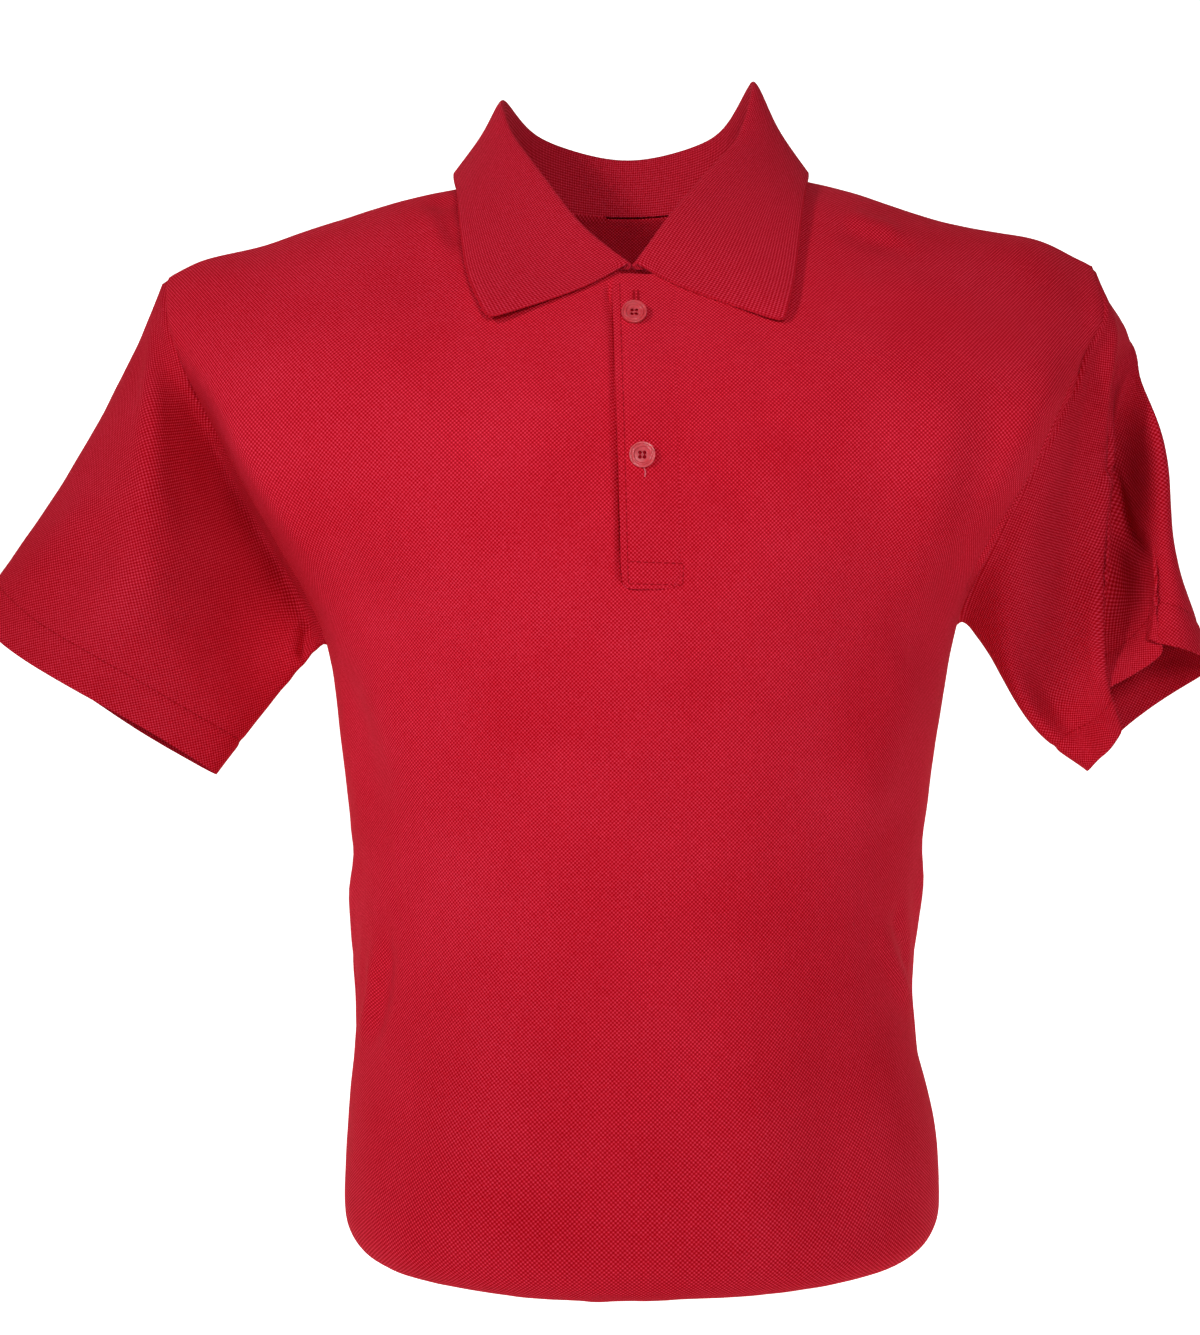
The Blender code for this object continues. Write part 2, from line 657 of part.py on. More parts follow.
def button(name, body, x, z, look):
    """A turned button with a raised rim and four holes, lying on the upper placket."""
    radius, floor = BUTTON_DIAMETER / 2, BUTTON_THICKNESS - BUTTON_DISH
    mesh = bmesh.new()
    profile = [
        (0.0, 0.0), (0.82 * radius, 0.0), (radius, 0.35 * BUTTON_THICKNESS),
        (radius, 0.77 * BUTTON_THICKNESS), (0.9 * radius, BUTTON_THICKNESS),
        (radius - 0.8 * BUTTON_RIM, BUTTON_THICKNESS), (radius - 1.2 * BUTTON_RIM, floor), (0.0, floor),
    ]
    turned = [mesh.verts.new((r, 0.0, h)) for r, h in profile]
    edges = [mesh.edges.new(pair) for pair in zip(turned, turned[1:])]
    bmesh.ops.spin(
        mesh, geom=turned + edges, cent=(0, 0, 0), axis=(0, 0, 1), angle=math.tau,
        steps=BUTTON_SIDES, use_merge=True,
    )
    bmesh.ops.remove_doubles(mesh, verts=mesh.verts, dist=1e-6)
    bmesh.ops.recalc_face_normals(mesh, faces=mesh.faces)
    data = bpy.data.meshes.new(name)
    mesh.to_mesh(data)
    mesh.free()
    made = bpy.data.objects.new(name, data)
    bpy.context.collection.objects.link(made)
    made.data.materials.append(look)
    level = body.level_of("front", z)
    share = (x - CENTRE_X) / body.half_width("front", "left", level)
    normal = surface_normal(body, "front", share, level)
    lift = placket_lap(x, placket_edges(body, level)[1]) + WALL / 2 + BUTTON_LIFT
    half = BUTTON_HOLE_PITCH / 2
    for index, (right, up) in enumerate(((half, half), (-half, half), (-half, -half), (half, -half))):
        cut = made.modifiers.new(f"hole_{index}", "BOOLEAN")
        cut.solver = "EXACT"
        cut.object = hole_cutter(f"{name}_hole_{index}", made, (right, up, 0.0))
    made.matrix_world = facing(normal, body.point("front", share, level) + lift * normal)


def hole_cutter(name, parent, offset):
    """A hidden cylinder that goes right through a button."""
    mesh = bmesh.new()
    bmesh.ops.create_cone(
        mesh, cap_ends=True, segments=BUTTON_HOLE_SIDES, radius1=BUTTON_HOLE / 2,
        radius2=BUTTON_HOLE / 2, depth=3 * BUTTON_THICKNESS,
    )
    data = bpy.data.meshes.new(name)
    mesh.to_mesh(data)
    mesh.free()
    cutter = bpy.data.objects.new(name, data)
    bpy.context.collection.objects.link(cutter)
    cutter.parent = parent
    cutter.location = offset
    cutter.hide_render = True
    cutter.display_type = "WIRE"
    return cutter


def facing(normal, place):
    """The matrix that puts an object at a place, its +Z along the normal and its +X level."""
    across = np.cross([0.0, 0.0, 1.0], normal)
    across = across / np.linalg.norm(across)
    matrix = Matrix.Identity(4)
    for column, axis in enumerate((across, np.cross(normal, across), normal, place)):
        for row in range(3):
            matrix[row][column] = axis[row]
    return matrix


def main():
    clear_scene()
    pique = material("pique_red", PIQUE_RED, 0.85)
    rib = material("rib_red", RIB_RED, 0.85)
    plastic = material("button_red", BUTTON_RED, 0.35)
    body = Body()
    front, front_sheet = panel_sheet("front_panel", body, "front")
    back, back_sheet = panel_sheet("back_panel", body, "back")
    sewn = [
        front_sheet,
        back_sheet,
        sleeve_sheet("sleeve_right", RIGHT_SLEEVE, front, back, "right"),
        sleeve_sheet("sleeve_left", LEFT_SLEEVE, front, back, "left"),
    ]
    for sheet, normals in zip(sewn, shared_normals(sewn)):
        solid(sheet, normals, pique)
    for name in ("placket_top", "placket_under"):
        strip = placket_sheet(name, body)
        solid(strip, shared_normals([strip])[0], pique)
    collar = collar_sheet(body, front, back)
    solid(collar, shared_normals([collar])[0], rib)
    for name, x, z in BUTTONS:
        button(name, body, x, z, plastic)


main()
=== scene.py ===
import heapq
import math
from collections import namedtuple

import bmesh
import bpy
import numpy as np
from mathutils import Matrix, Vector, noise
from mathutils.bvhtree import BVHTree


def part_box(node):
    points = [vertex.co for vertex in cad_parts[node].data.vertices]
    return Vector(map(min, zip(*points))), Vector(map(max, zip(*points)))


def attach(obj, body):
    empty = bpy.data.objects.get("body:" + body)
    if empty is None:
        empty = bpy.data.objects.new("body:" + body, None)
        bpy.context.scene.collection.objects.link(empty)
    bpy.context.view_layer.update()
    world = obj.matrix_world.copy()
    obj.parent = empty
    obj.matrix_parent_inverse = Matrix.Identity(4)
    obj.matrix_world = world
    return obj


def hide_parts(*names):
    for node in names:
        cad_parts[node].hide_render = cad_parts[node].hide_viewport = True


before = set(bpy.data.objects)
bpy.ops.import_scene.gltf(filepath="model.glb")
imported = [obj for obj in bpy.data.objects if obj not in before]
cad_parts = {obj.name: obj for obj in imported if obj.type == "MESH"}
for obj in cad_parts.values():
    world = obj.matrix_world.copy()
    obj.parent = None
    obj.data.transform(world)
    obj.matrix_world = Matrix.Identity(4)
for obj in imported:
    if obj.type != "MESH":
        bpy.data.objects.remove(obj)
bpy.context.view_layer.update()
bpy.ops.object.select_all(action="DESELECT")


# ---- Studio
# A pale floor that sweeps up into a pale wall, two soft lights, one high on the wearer's right and
# one in front, and an even glow from all round.

CAMERA_PLACE = (-0.0182, -1.25, -0.2603)
CAMERA_LENS = 64.8
FLOOR_Z = -0.68
FLOOR_HALF_WIDTH, FLOOR_FRONT, WALL_Y, WALL_TOP, SWEEP_RADIUS = 5.0, -3.5, 2.2, 4.0, 0.8
SWEEP_STEPS = 12
PALE = (0.93, 0.93, 0.93, 1.0)
NEAR_GLOW, FAR_GLOW = (0.18, 0.18, 0.18, 1.0), (0.88, 0.88, 0.88, 1.0)
GLOW_FROM, GLOW_TO = -0.15, 0.20
SKY_WHITE, SKY_STRENGTH, SKY_SEEN = (1.0, 1.0, 1.0, 1.0), 0.10, 0.85

scene = bpy.context.scene
scene.view_settings.view_transform = "Standard"
camera_lens = bpy.data.cameras.new("camera")
camera_lens.lens = CAMERA_LENS
camera = bpy.data.objects.new("camera", camera_lens)
camera.location = CAMERA_PLACE
camera.rotation_euler = (math.pi / 2, 0.0, 0.0)
scene.collection.objects.link(camera)
scene.camera = camera

sky = bpy.data.worlds.new("studio")
sky.use_nodes = True
sky_nodes, sky_links = sky.node_tree.nodes, sky.node_tree.links
seen = sky_nodes.new("ShaderNodeBackground")
blend = sky_nodes.new("ShaderNodeMixShader")
for background, strength in ((sky_nodes["Background"], SKY_STRENGTH), (seen, SKY_SEEN)):
    background.inputs["Color"].default_value = SKY_WHITE
    background.inputs["Strength"].default_value = strength
sky_links.new(sky_nodes.new("ShaderNodeLightPath").outputs["Is Camera Ray"], blend.inputs[0])
sky_links.new(sky_nodes["Background"].outputs[0], blend.inputs[1])
sky_links.new(seen.outputs[0], blend.inputs[2])
sky_links.new(blend.outputs[0], sky_nodes["World Output"].inputs["Surface"])
scene.world = sky

Softbox = namedtuple("Softbox", "name place aim width height watts spread")
for box in (
    Softbox("key", (-1.25, -1.40, 0.55), (0.0, -0.08, -0.20), 0.3, 0.3, 1.32, 56.0),
    Softbox("front", (0.30, -2.25, 0.34), (0.06, -0.05, -0.20), 0.5, 0.5, 1.26, 47.0),
):
    lamp = bpy.data.lights.new(box.name, "AREA")
    lamp.shape, lamp.size, lamp.size_y, lamp.energy = "RECTANGLE", box.width, box.height, box.watts
    lamp.spread = math.radians(box.spread)
    light = bpy.data.objects.new(box.name, lamp)
    light.location = box.place
    light.rotation_euler = (Vector(box.aim) - Vector(box.place)).to_track_quat("-Z", "Y").to_euler()
    scene.collection.objects.link(light)


class Socket:
    """A shader socket that takes part in sums."""

    def __init__(self, finish, socket):
        self.finish, self.socket = finish, socket

    def maths(self, operation, *values):
        inputs = dict(enumerate((self,) + values))
        return self.finish.add("ShaderNodeMath", {"operation": operation}, inputs)

    def __add__(self, other):
        return self.maths("ADD", other)

    def __mul__(self, other):
        return self.maths("MULTIPLY", other)

    def __sub__(self, other):
        return self.maths("SUBTRACT", other)

    def __pow__(self, other):
        return self.maths("POWER", other)

    def __rsub__(self, other):
        return self * -1.0 + other

    __radd__, __rmul__ = __add__, __mul__


class Finish:
    """A material: its shader's sockets by name, and a way to add any node."""

    def __init__(self, name, **sockets):
        self.material = bpy.data.materials.new(name)
        self.material.use_nodes = True
        self.tree = self.material.node_tree
        self.shader = self.tree.nodes["Principled BSDF"]
        self.set(**sockets)

    def set(self, **sockets):
        for name, value in sockets.items():
            self.feed(self.shader.inputs[name.replace("_", " ")], value)

    def feed(self, socket, value):
        if isinstance(value, Socket):
            self.tree.links.new(value.socket, socket)
        else:
            socket.default_value = value

    def add(self, kind, settings=None, inputs=None, out=0):
        node = self.tree.nodes.new(kind)
        for name, value in (settings or {}).items():
            setattr(node, name, value)
        for name, value in (inputs or {}).items():
            self.feed(node.inputs[name], value)
        return Socket(self, node.outputs[out])

    def coordinates(self, kind):
        return self.add("ShaderNodeTexCoord", out=kind)

    def mix(self, share, first, second):
        return self.add(
            "ShaderNodeMix", {"data_type": "RGBA"}, {0: share, 6: first, 7: second}, out=2,
        )

    def noise(self, scale, detail):
        return self.add(
            "ShaderNodeTexNoise", None,
            {"Vector": self.coordinates("Object"), "Scale": scale, "Detail": detail},
        )

    def across(self):
        """The piece's own flat coordinates, in metres."""
        flat = self.coordinates("UV")
        return [self.add("ShaderNodeSeparateXYZ", None, {0: flat}, way) for way in (0, 1)]

    def bump(self, height, strength, distance):
        return self.add(
            "ShaderNodeBump", None,
            {"Height": height, "Strength": strength, "Distance": distance},
        )


profile = [(FLOOR_FRONT, FLOOR_Z)]
for step in range(SWEEP_STEPS + 1):
    turn = math.pi / 2 * step / SWEEP_STEPS
    profile.append((
        WALL_Y - SWEEP_RADIUS + SWEEP_RADIUS * math.sin(turn),
        FLOOR_Z + SWEEP_RADIUS - SWEEP_RADIUS * math.cos(turn),
    ))
profile.append((WALL_Y, WALL_TOP))
floor_mesh = bpy.data.meshes.new("floor")
floor_mesh.from_pydata(
    [(side * FLOOR_HALF_WIDTH, y, z) for y, z in profile for side in (-1, 1)], [],
    [(2 * k, 2 * k + 1, 2 * k + 3, 2 * k + 2) for k in range(len(profile) - 1)],
)
floor_mesh.shade_smooth()
floor = bpy.data.objects.new("floor", floor_mesh)
scene.collection.objects.link(floor)
paper = Finish("paper", Roughness=0.9, Specular_IOR_Level=0.1, Emission_Strength=1.0)
nearness = paper.add("ShaderNodeSeparateXYZ", None, {0: paper.coordinates("Object")}, 1)
glow = paper.add(
    "ShaderNodeMapRange", {"interpolation_type": "SMOOTHSTEP"},
    {0: nearness, 1: GLOW_FROM, 2: GLOW_TO},
)
paper.set(Base_Color=PALE, Emission_Color=paper.mix(glow, NEAR_GLOW, FAR_GLOW))
floor_mesh.materials.append(paper.material)


# ---- Pique knit
# The body and sleeves are cotton pique, dyed red: small raised stitches in staggered rows, with a soft
# bloom of fibre ends. The colour has painted shade in the pits between the stitches and a painted
# highlight on their tops. The sleeves' copy is darker all over, as painted shade for sleeves turned
# away from the light.

PIQUE_REPEAT = 0.0019
# pit colour: painted shade in the pits between the stitches; pale colour: painted highlight on the stitch
# tops
PIQUE_PIT_SHADE, PIQUE_STITCH = (0.400, 0.0000, 0.0010, 1.0), (0.820, 0.0100, 0.0340, 1.0)
PIQUE_TOP_HIGHLIGHT, HIGHLIGHT_POWER = (0.920, 0.0620, 0.1250, 1.0), 3.0
PIQUE_BLOOM = (1.0, 0.45, 0.5, 1.0)
# the sleeves' copy of the pique is darkened by this share: painted shade for sleeves turned away from the
# light
SLEEVE_PAINTED_SHADE = 0.87
LUMP_SHARE, YARN_SHARE, BLOTCH_SHARE, PIQUE_DROP = 0.90, 0.40, 0.26, 0.28
YARN_SCALE, BLOTCH_SCALE, KNIT_DETAIL = 900.0, 14.0, 3.0
YARN_RELIEF, PIQUE_RELIEF, PIQUE_DEPTH = 0.5, 0.55, 0.00035


def knit_finish(name, roughness, bloom):
    """Matt cotton, with a faint sheen of fibre ends."""
    return Finish(
        name, Roughness=roughness, Specular_IOR_Level=0.02,
        Sheen_Weight=0.01, Sheen_Roughness=0.4, Sheen_Tint=bloom,
    )


def knit_colour(finish, shade_and_tone, pit, stitch, pale):
    """Painted shade in the pits, the dye's own red on the stitches, and a painted highlight on their tops.
    """
    shade_and_tone = shade_and_tone.maths("MINIMUM", 1.0).maths("MAXIMUM", 0.0)
    return finish.mix(shade_and_tone ** HIGHLIGHT_POWER, finish.mix(shade_and_tone, pit, stitch), pale)


# darkens a colour by a share: painted shade
def with_painted_shade(colour, share):
    return tuple(value * share for value in colour[:3]) + (1.0,)


def pique_finish(name, share):
    finish = knit_finish(name, 0.9, PIQUE_BLOOM)
    along, up = finish.across()
    wave = 2 * math.pi / PIQUE_REPEAT
    lumps = (along * wave).maths("SINE") * (up * wave).maths("COSINE") * 0.5 + 0.5
    yarn = finish.noise(YARN_SCALE, KNIT_DETAIL)
    blotches = finish.noise(BLOTCH_SCALE, KNIT_DETAIL)
    # the stitch pattern gives painted shade and painted highlight; the yarn and blotch noise is the cloth's
    # own uneven tone
    shade_and_tone = lumps * LUMP_SHARE + yarn * YARN_SHARE + blotches * BLOTCH_SHARE - PIQUE_DROP
    colours = (with_painted_shade(colour, share) for colour in (PIQUE_PIT_SHADE, PIQUE_STITCH, PIQUE_TOP_HIGHLIGHT))
    finish.set(
        Base_Color=knit_colour(finish, shade_and_tone, *colours),
        Normal=finish.bump(lumps + yarn * YARN_RELIEF, PIQUE_RELIEF, PIQUE_DEPTH),
    )
    return finish.material


pique = pique_finish("pique_cloth", 1.0)
# the sleeves' copy, darker all over: painted shade
sleeve_pique_shaded = pique_finish("sleeve_pique_shaded", SLEEVE_PAINTED_SHADE)


# ---- Body and sleeves as one sewn shell
# Two big pique panels, two sleeves and the upper placket strip, sewn edge to edge. Each is laid flat
# for its grain, and they are joined first, so that folds run over the seams as on a sewn shirt.

WALL, MERGE_REACH, RUNG_SLACK = 0.0015, 1e-5, 4e-6
BODY_HEART = (-0.003, 0.0)
SEAM_REACH = 0.0009
PLACKET_SEWN_X, PLACKET_SEW_REACH = 0.0155, 0.0046
PLACKET_FOOT_Z, PLACKET_FOOT_DROP, PLACKET_FOOT_RISE = -0.2215, 0.0016, -0.0004


def outer_wall(node, wall, heart):
    """The outer side of a cloth solid: its rim is the faces with an edge as long as the wall."""
    mesh = bmesh.new()
    mesh.from_mesh(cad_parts[node].data)
    bmesh.ops.remove_doubles(mesh, verts=mesh.verts, dist=MERGE_REACH)
    rungs = [edge for edge in mesh.edges if abs(edge.calc_length() - wall) < RUNG_SLACK]
    rim = {face for edge in rungs for face in edge.link_faces}
    bmesh.ops.delete(mesh, geom=list(rim), context="FACES")
    left, sides = set(mesh.faces), []
    while left:
        side, ahead = [], [left.pop()]
        while ahead:
            face = ahead.pop()
            side.append(face)
            near = {other for edge in face.edges for other in edge.link_faces} & left
            left -= near
            ahead.extend(near)
        sides.append(side)

    def facing_out(side):
        return sum(
            face.calc_area() * face.normal.xy.dot(face.calc_center_median().xy - Vector(heart))
            for face in side
        )

    outer = max(sides, key=facing_out)
    kept = set(outer)
    bmesh.ops.delete(mesh, geom=[f for f in mesh.faces if f not in kept], context="FACES")
    bmesh.ops.join_triangles(
        mesh, faces=mesh.faces[:], angle_face_threshold=math.pi, angle_shape_threshold=math.pi,
        topology_influence=2.0,
    )
    return mesh


def piece_from(name, mesh):
    data = bpy.data.meshes.new(name)
    mesh.to_mesh(data)
    mesh.free()
    piece = bpy.data.objects.new(name, data)
    scene.collection.objects.link(piece)
    return piece


def only(piece):
    bpy.ops.object.select_all(action="DESELECT")
    piece.select_set(True)
    bpy.context.view_layer.objects.active = piece


def apply(piece, kind, **settings):
    only(piece)
    modifier = piece.modifiers.new(kind.lower(), kind)
    for name, value in settings.items():
        setattr(modifier, name, value)
    bpy.ops.object.modifier_apply(modifier=modifier.name)


def read_points(data):
    points = np.empty(3 * len(data.vertices))
    data.vertices.foreach_get("co", points)
    return points.reshape(-1, 3)


def read_normals(data):
    normals = np.empty(3 * len(data.vertices))
    data.vertex_normals.foreach_get("vector", normals)
    return normals.reshape(-1, 3)


def write_points(data, points):
    data.vertices.foreach_set("co", np.asarray(points, np.float32).ravel())
    data.update()


def read_flat(data):
    flat = np.empty(2 * len(data.loops))
    data.uv_layers.active.data.foreach_get("uv", flat)
    return flat.reshape(-1, 2)


def write_flat(data, flat):
    data.uv_layers.active.data.foreach_set("uv", flat.ravel())


def surface_of(data):
    """The cloth as a surface that lines can be laid on."""
    return BVHTree.FromPolygons([v.co for v in data.vertices], [p.vertices[:] for p in data.polygons])


def size_of(flat):
    return tuple(float(side) for side in flat.max(axis=0) - flat.min(axis=0))


def mark_cut(part, start, end):
    """Marks the seam that a tube is cut open along."""
    only(part)
    bpy.ops.object.mode_set(mode="EDIT")
    bpy.ops.mesh.select_mode(type="VERT")
    bpy.ops.mesh.select_all(action="DESELECT")
    mesh = bmesh.from_edit_mesh(part.data)
    for place in (start, end):
        min(mesh.verts, key=lambda v: (v.co - Vector(place)).length).select_set(True)
    bpy.ops.mesh.shortest_path_select(edge_mode="SELECT")
    bpy.ops.mesh.mark_seam(clear=False)
    bpy.ops.object.mode_set(mode="OBJECT")


def lay_flat(piece, index, low, high):
    """Unwraps one cut piece to its flat size in metres, with the line from low to high upright."""
    only(piece)
    data = piece.data
    bpy.ops.object.mode_set(mode="EDIT")
    bpy.ops.mesh.select_mode(type="FACE")
    bpy.ops.mesh.select_all(action="DESELECT")
    mesh = bmesh.from_edit_mesh(data)
    number = mesh.faces.layers.int["piece"]
    for face in mesh.faces:
        face.select_set(face[number] == index)
    bmesh.update_edit_mesh(data)
    bpy.ops.uv.unwrap(method="ANGLE_BASED", margin=0.0)
    bpy.ops.object.mode_set(mode="OBJECT")
    flat, points, pieces = read_flat(data), read_points(data), data.attributes["piece"].data
    mine = [polygon for polygon in data.polygons if pieces[polygon.index].value == index]
    loops = np.array([loop for polygon in mine for loop in polygon.loop_indices])
    corners = np.array([vertex for polygon in mine for vertex in polygon.vertices])
    area = sum(polygon.area for polygon in mine)
    flat_area = 0.0
    for polygon in mine:
        ring = flat[list(polygon.loop_indices)]
        after = np.roll(ring, -1, axis=0)
        flat_area += abs(np.sum(ring[:, 0] * after[:, 1] - ring[:, 1] * after[:, 0])) / 2
    start, end = (
        flat[loops[np.argmin(np.linalg.norm(points[corners] - np.array(place), axis=1))]]
        for place in (low, high)
    )
    run = (end - start) / np.linalg.norm(end - start)
    turned = np.stack([flat[loops] @ np.array([run[1], -run[0]]), flat[loops] @ run], axis=1)
    turned *= math.sqrt(area / flat_area)
    flat[loops] = turned
    write_flat(data, flat)
    return size_of(turned), area


def sleeve_heart(node):
    low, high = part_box(node)
    return ((low[0] + high[0]) / 2, (low[1] + high[1]) / 2)


SHARP_ABOVE, SHARP_SHARE = -0.13, 0.7
UNDERARM_RIGHT, CUFF_UNDER_RIGHT = (-0.1595, 0.0, -0.250), (-0.2127, -0.010, -0.3173)
UNDERARM_LEFT, CUFF_UNDER_LEFT = (0.1655, 0.0, -0.241), (0.2340, 0.0, -0.3136)
Cut = namedtuple("Cut", "node heart low high seam")
CUTS = (
    Cut("front_panel", BODY_HEART, (-0.003, -0.118, -0.53), (-0.003, -0.12, -0.25), None),
    Cut("back_panel", BODY_HEART, (-0.003, 0.104, -0.53), (-0.003, 0.10, -0.12), None),
    Cut("sleeve_right", sleeve_heart("sleeve_right"), (-0.3458, 0.0, -0.232), (-0.2444, 0.0, -0.061),
        (UNDERARM_RIGHT, CUFF_UNDER_RIGHT)),
    Cut("sleeve_left", sleeve_heart("sleeve_left"), (0.3011, 0.0, -0.2574), (0.2366, 0.0, -0.051),
        (UNDERARM_LEFT, CUFF_UNDER_LEFT)),
    Cut("placket_top", BODY_HEART, (0.0064, -0.1262, -0.2221), (0.0019, -0.0813, -0.069), None),
)
FRONT, BACK, SLEEVE_RIGHT, SLEEVE_LEFT, PLACKET = range(len(CUTS))
shell_parts = []
for index, cut in enumerate(CUTS):
    part = piece_from(cut.node + "_cloth", outer_wall(cut.node, WALL, cut.heart))
    if cut.seam:
        mark_cut(part, *cut.seam)
    part.data.attributes.new("piece", "INT", "FACE")
    part.data.attributes["piece"].data.foreach_set("value", [index] * len(part.data.polygons))
    shell_parts.append(part)

bpy.ops.object.select_all(action="DESELECT")
for part in shell_parts:
    part.select_set(True)
bpy.context.view_layer.objects.active = shell_parts[0]
bpy.ops.object.join()
shell = shell_parts[0]
mesh = bmesh.new()
mesh.from_mesh(shell.data)
bmesh.ops.remove_doubles(mesh, verts=[v for v in mesh.verts if v.is_boundary], dist=SEAM_REACH)
number = mesh.faces.layers.int["piece"]
placket_edge, slot_edge = (
    [v for v in mesh.verts if v.is_boundary and {f[number] for f in v.link_faces} == {piece}]
    for piece in (PLACKET, FRONT)
)
sewn = {}
for vertex in placket_edge:
    if vertex.co.x > PLACKET_SEWN_X:
        nearest = min(slot_edge, key=lambda other: (other.co - vertex.co).length)
        if (nearest.co - vertex.co).length < PLACKET_SEW_REACH:
            sewn[vertex] = nearest
    elif vertex.co.z < PLACKET_FOOT_Z:
        vertex.co += Vector((0.0, -PLACKET_FOOT_RISE, -PLACKET_FOOT_DROP))
bmesh.ops.weld_verts(mesh, targetmap=sewn)
sharp = mesh.edges.layers.float.new("crease_edge")
pointed = mesh.verts.layers.float.new("crease_vert")
for vertex in placket_edge:
    if vertex.is_valid and len(vertex.link_faces) == 1:
        vertex[pointed] = 1.0
for vertex in mesh.verts:
    pieces = {face[number] for face in vertex.link_faces}
    if vertex.co.z > SHARP_ABOVE and {FRONT, BACK} < pieces:
        vertex[pointed] = 1.0
for edge in mesh.edges:
    pieces = {face[number] for face in edge.link_faces}
    armhole = len(pieces) == 2 and max(pieces) in (SLEEVE_RIGHT, SLEEVE_LEFT)
    if armhole and min(v.co.z for v in edge.verts) > SHARP_ABOVE:
        edge[sharp] = SHARP_SHARE
mesh.to_mesh(shell.data)
mesh.free()

# The folds that the cloth hangs in: where it is seen from, its half width, how far
# it stands out (a valley is negative), and the line it runs along in metres.
FACING = {
    "front": ((0.0, 1.0, 0.0), lambda a, b: (a, -1.0, b)),
    "back": ((0.0, -1.0, 0.0), lambda a, b: (a, 1.0, b)),
    "right": ((1.0, 0.0, 0.0), lambda a, b: (-1.0, a, b)),
    "left": ((-1.0, 0.0, 0.0), lambda a, b: (1.0, a, b)),
    "below": ((0.0, 0.0, 1.0), lambda a, b: (a, b, -1.0)),
}
FOLD_STEP, LONGEST_JUMP, LINE_END = 0.006, 0.048, 0.28
FOLD_REACH, FLANK_REACH, FLANK_SHARE = 2.6, 2.1, 0.40
SAME_FROM, SAME_SOFT = 0.1, 0.4
UNEVEN, LONG_BEAT, SHORT_BEAT, BEAT_SHIFT = 0.25, 3.3, 7.1, 1.7
Fold = namedtuple("Fold", "side width height line")
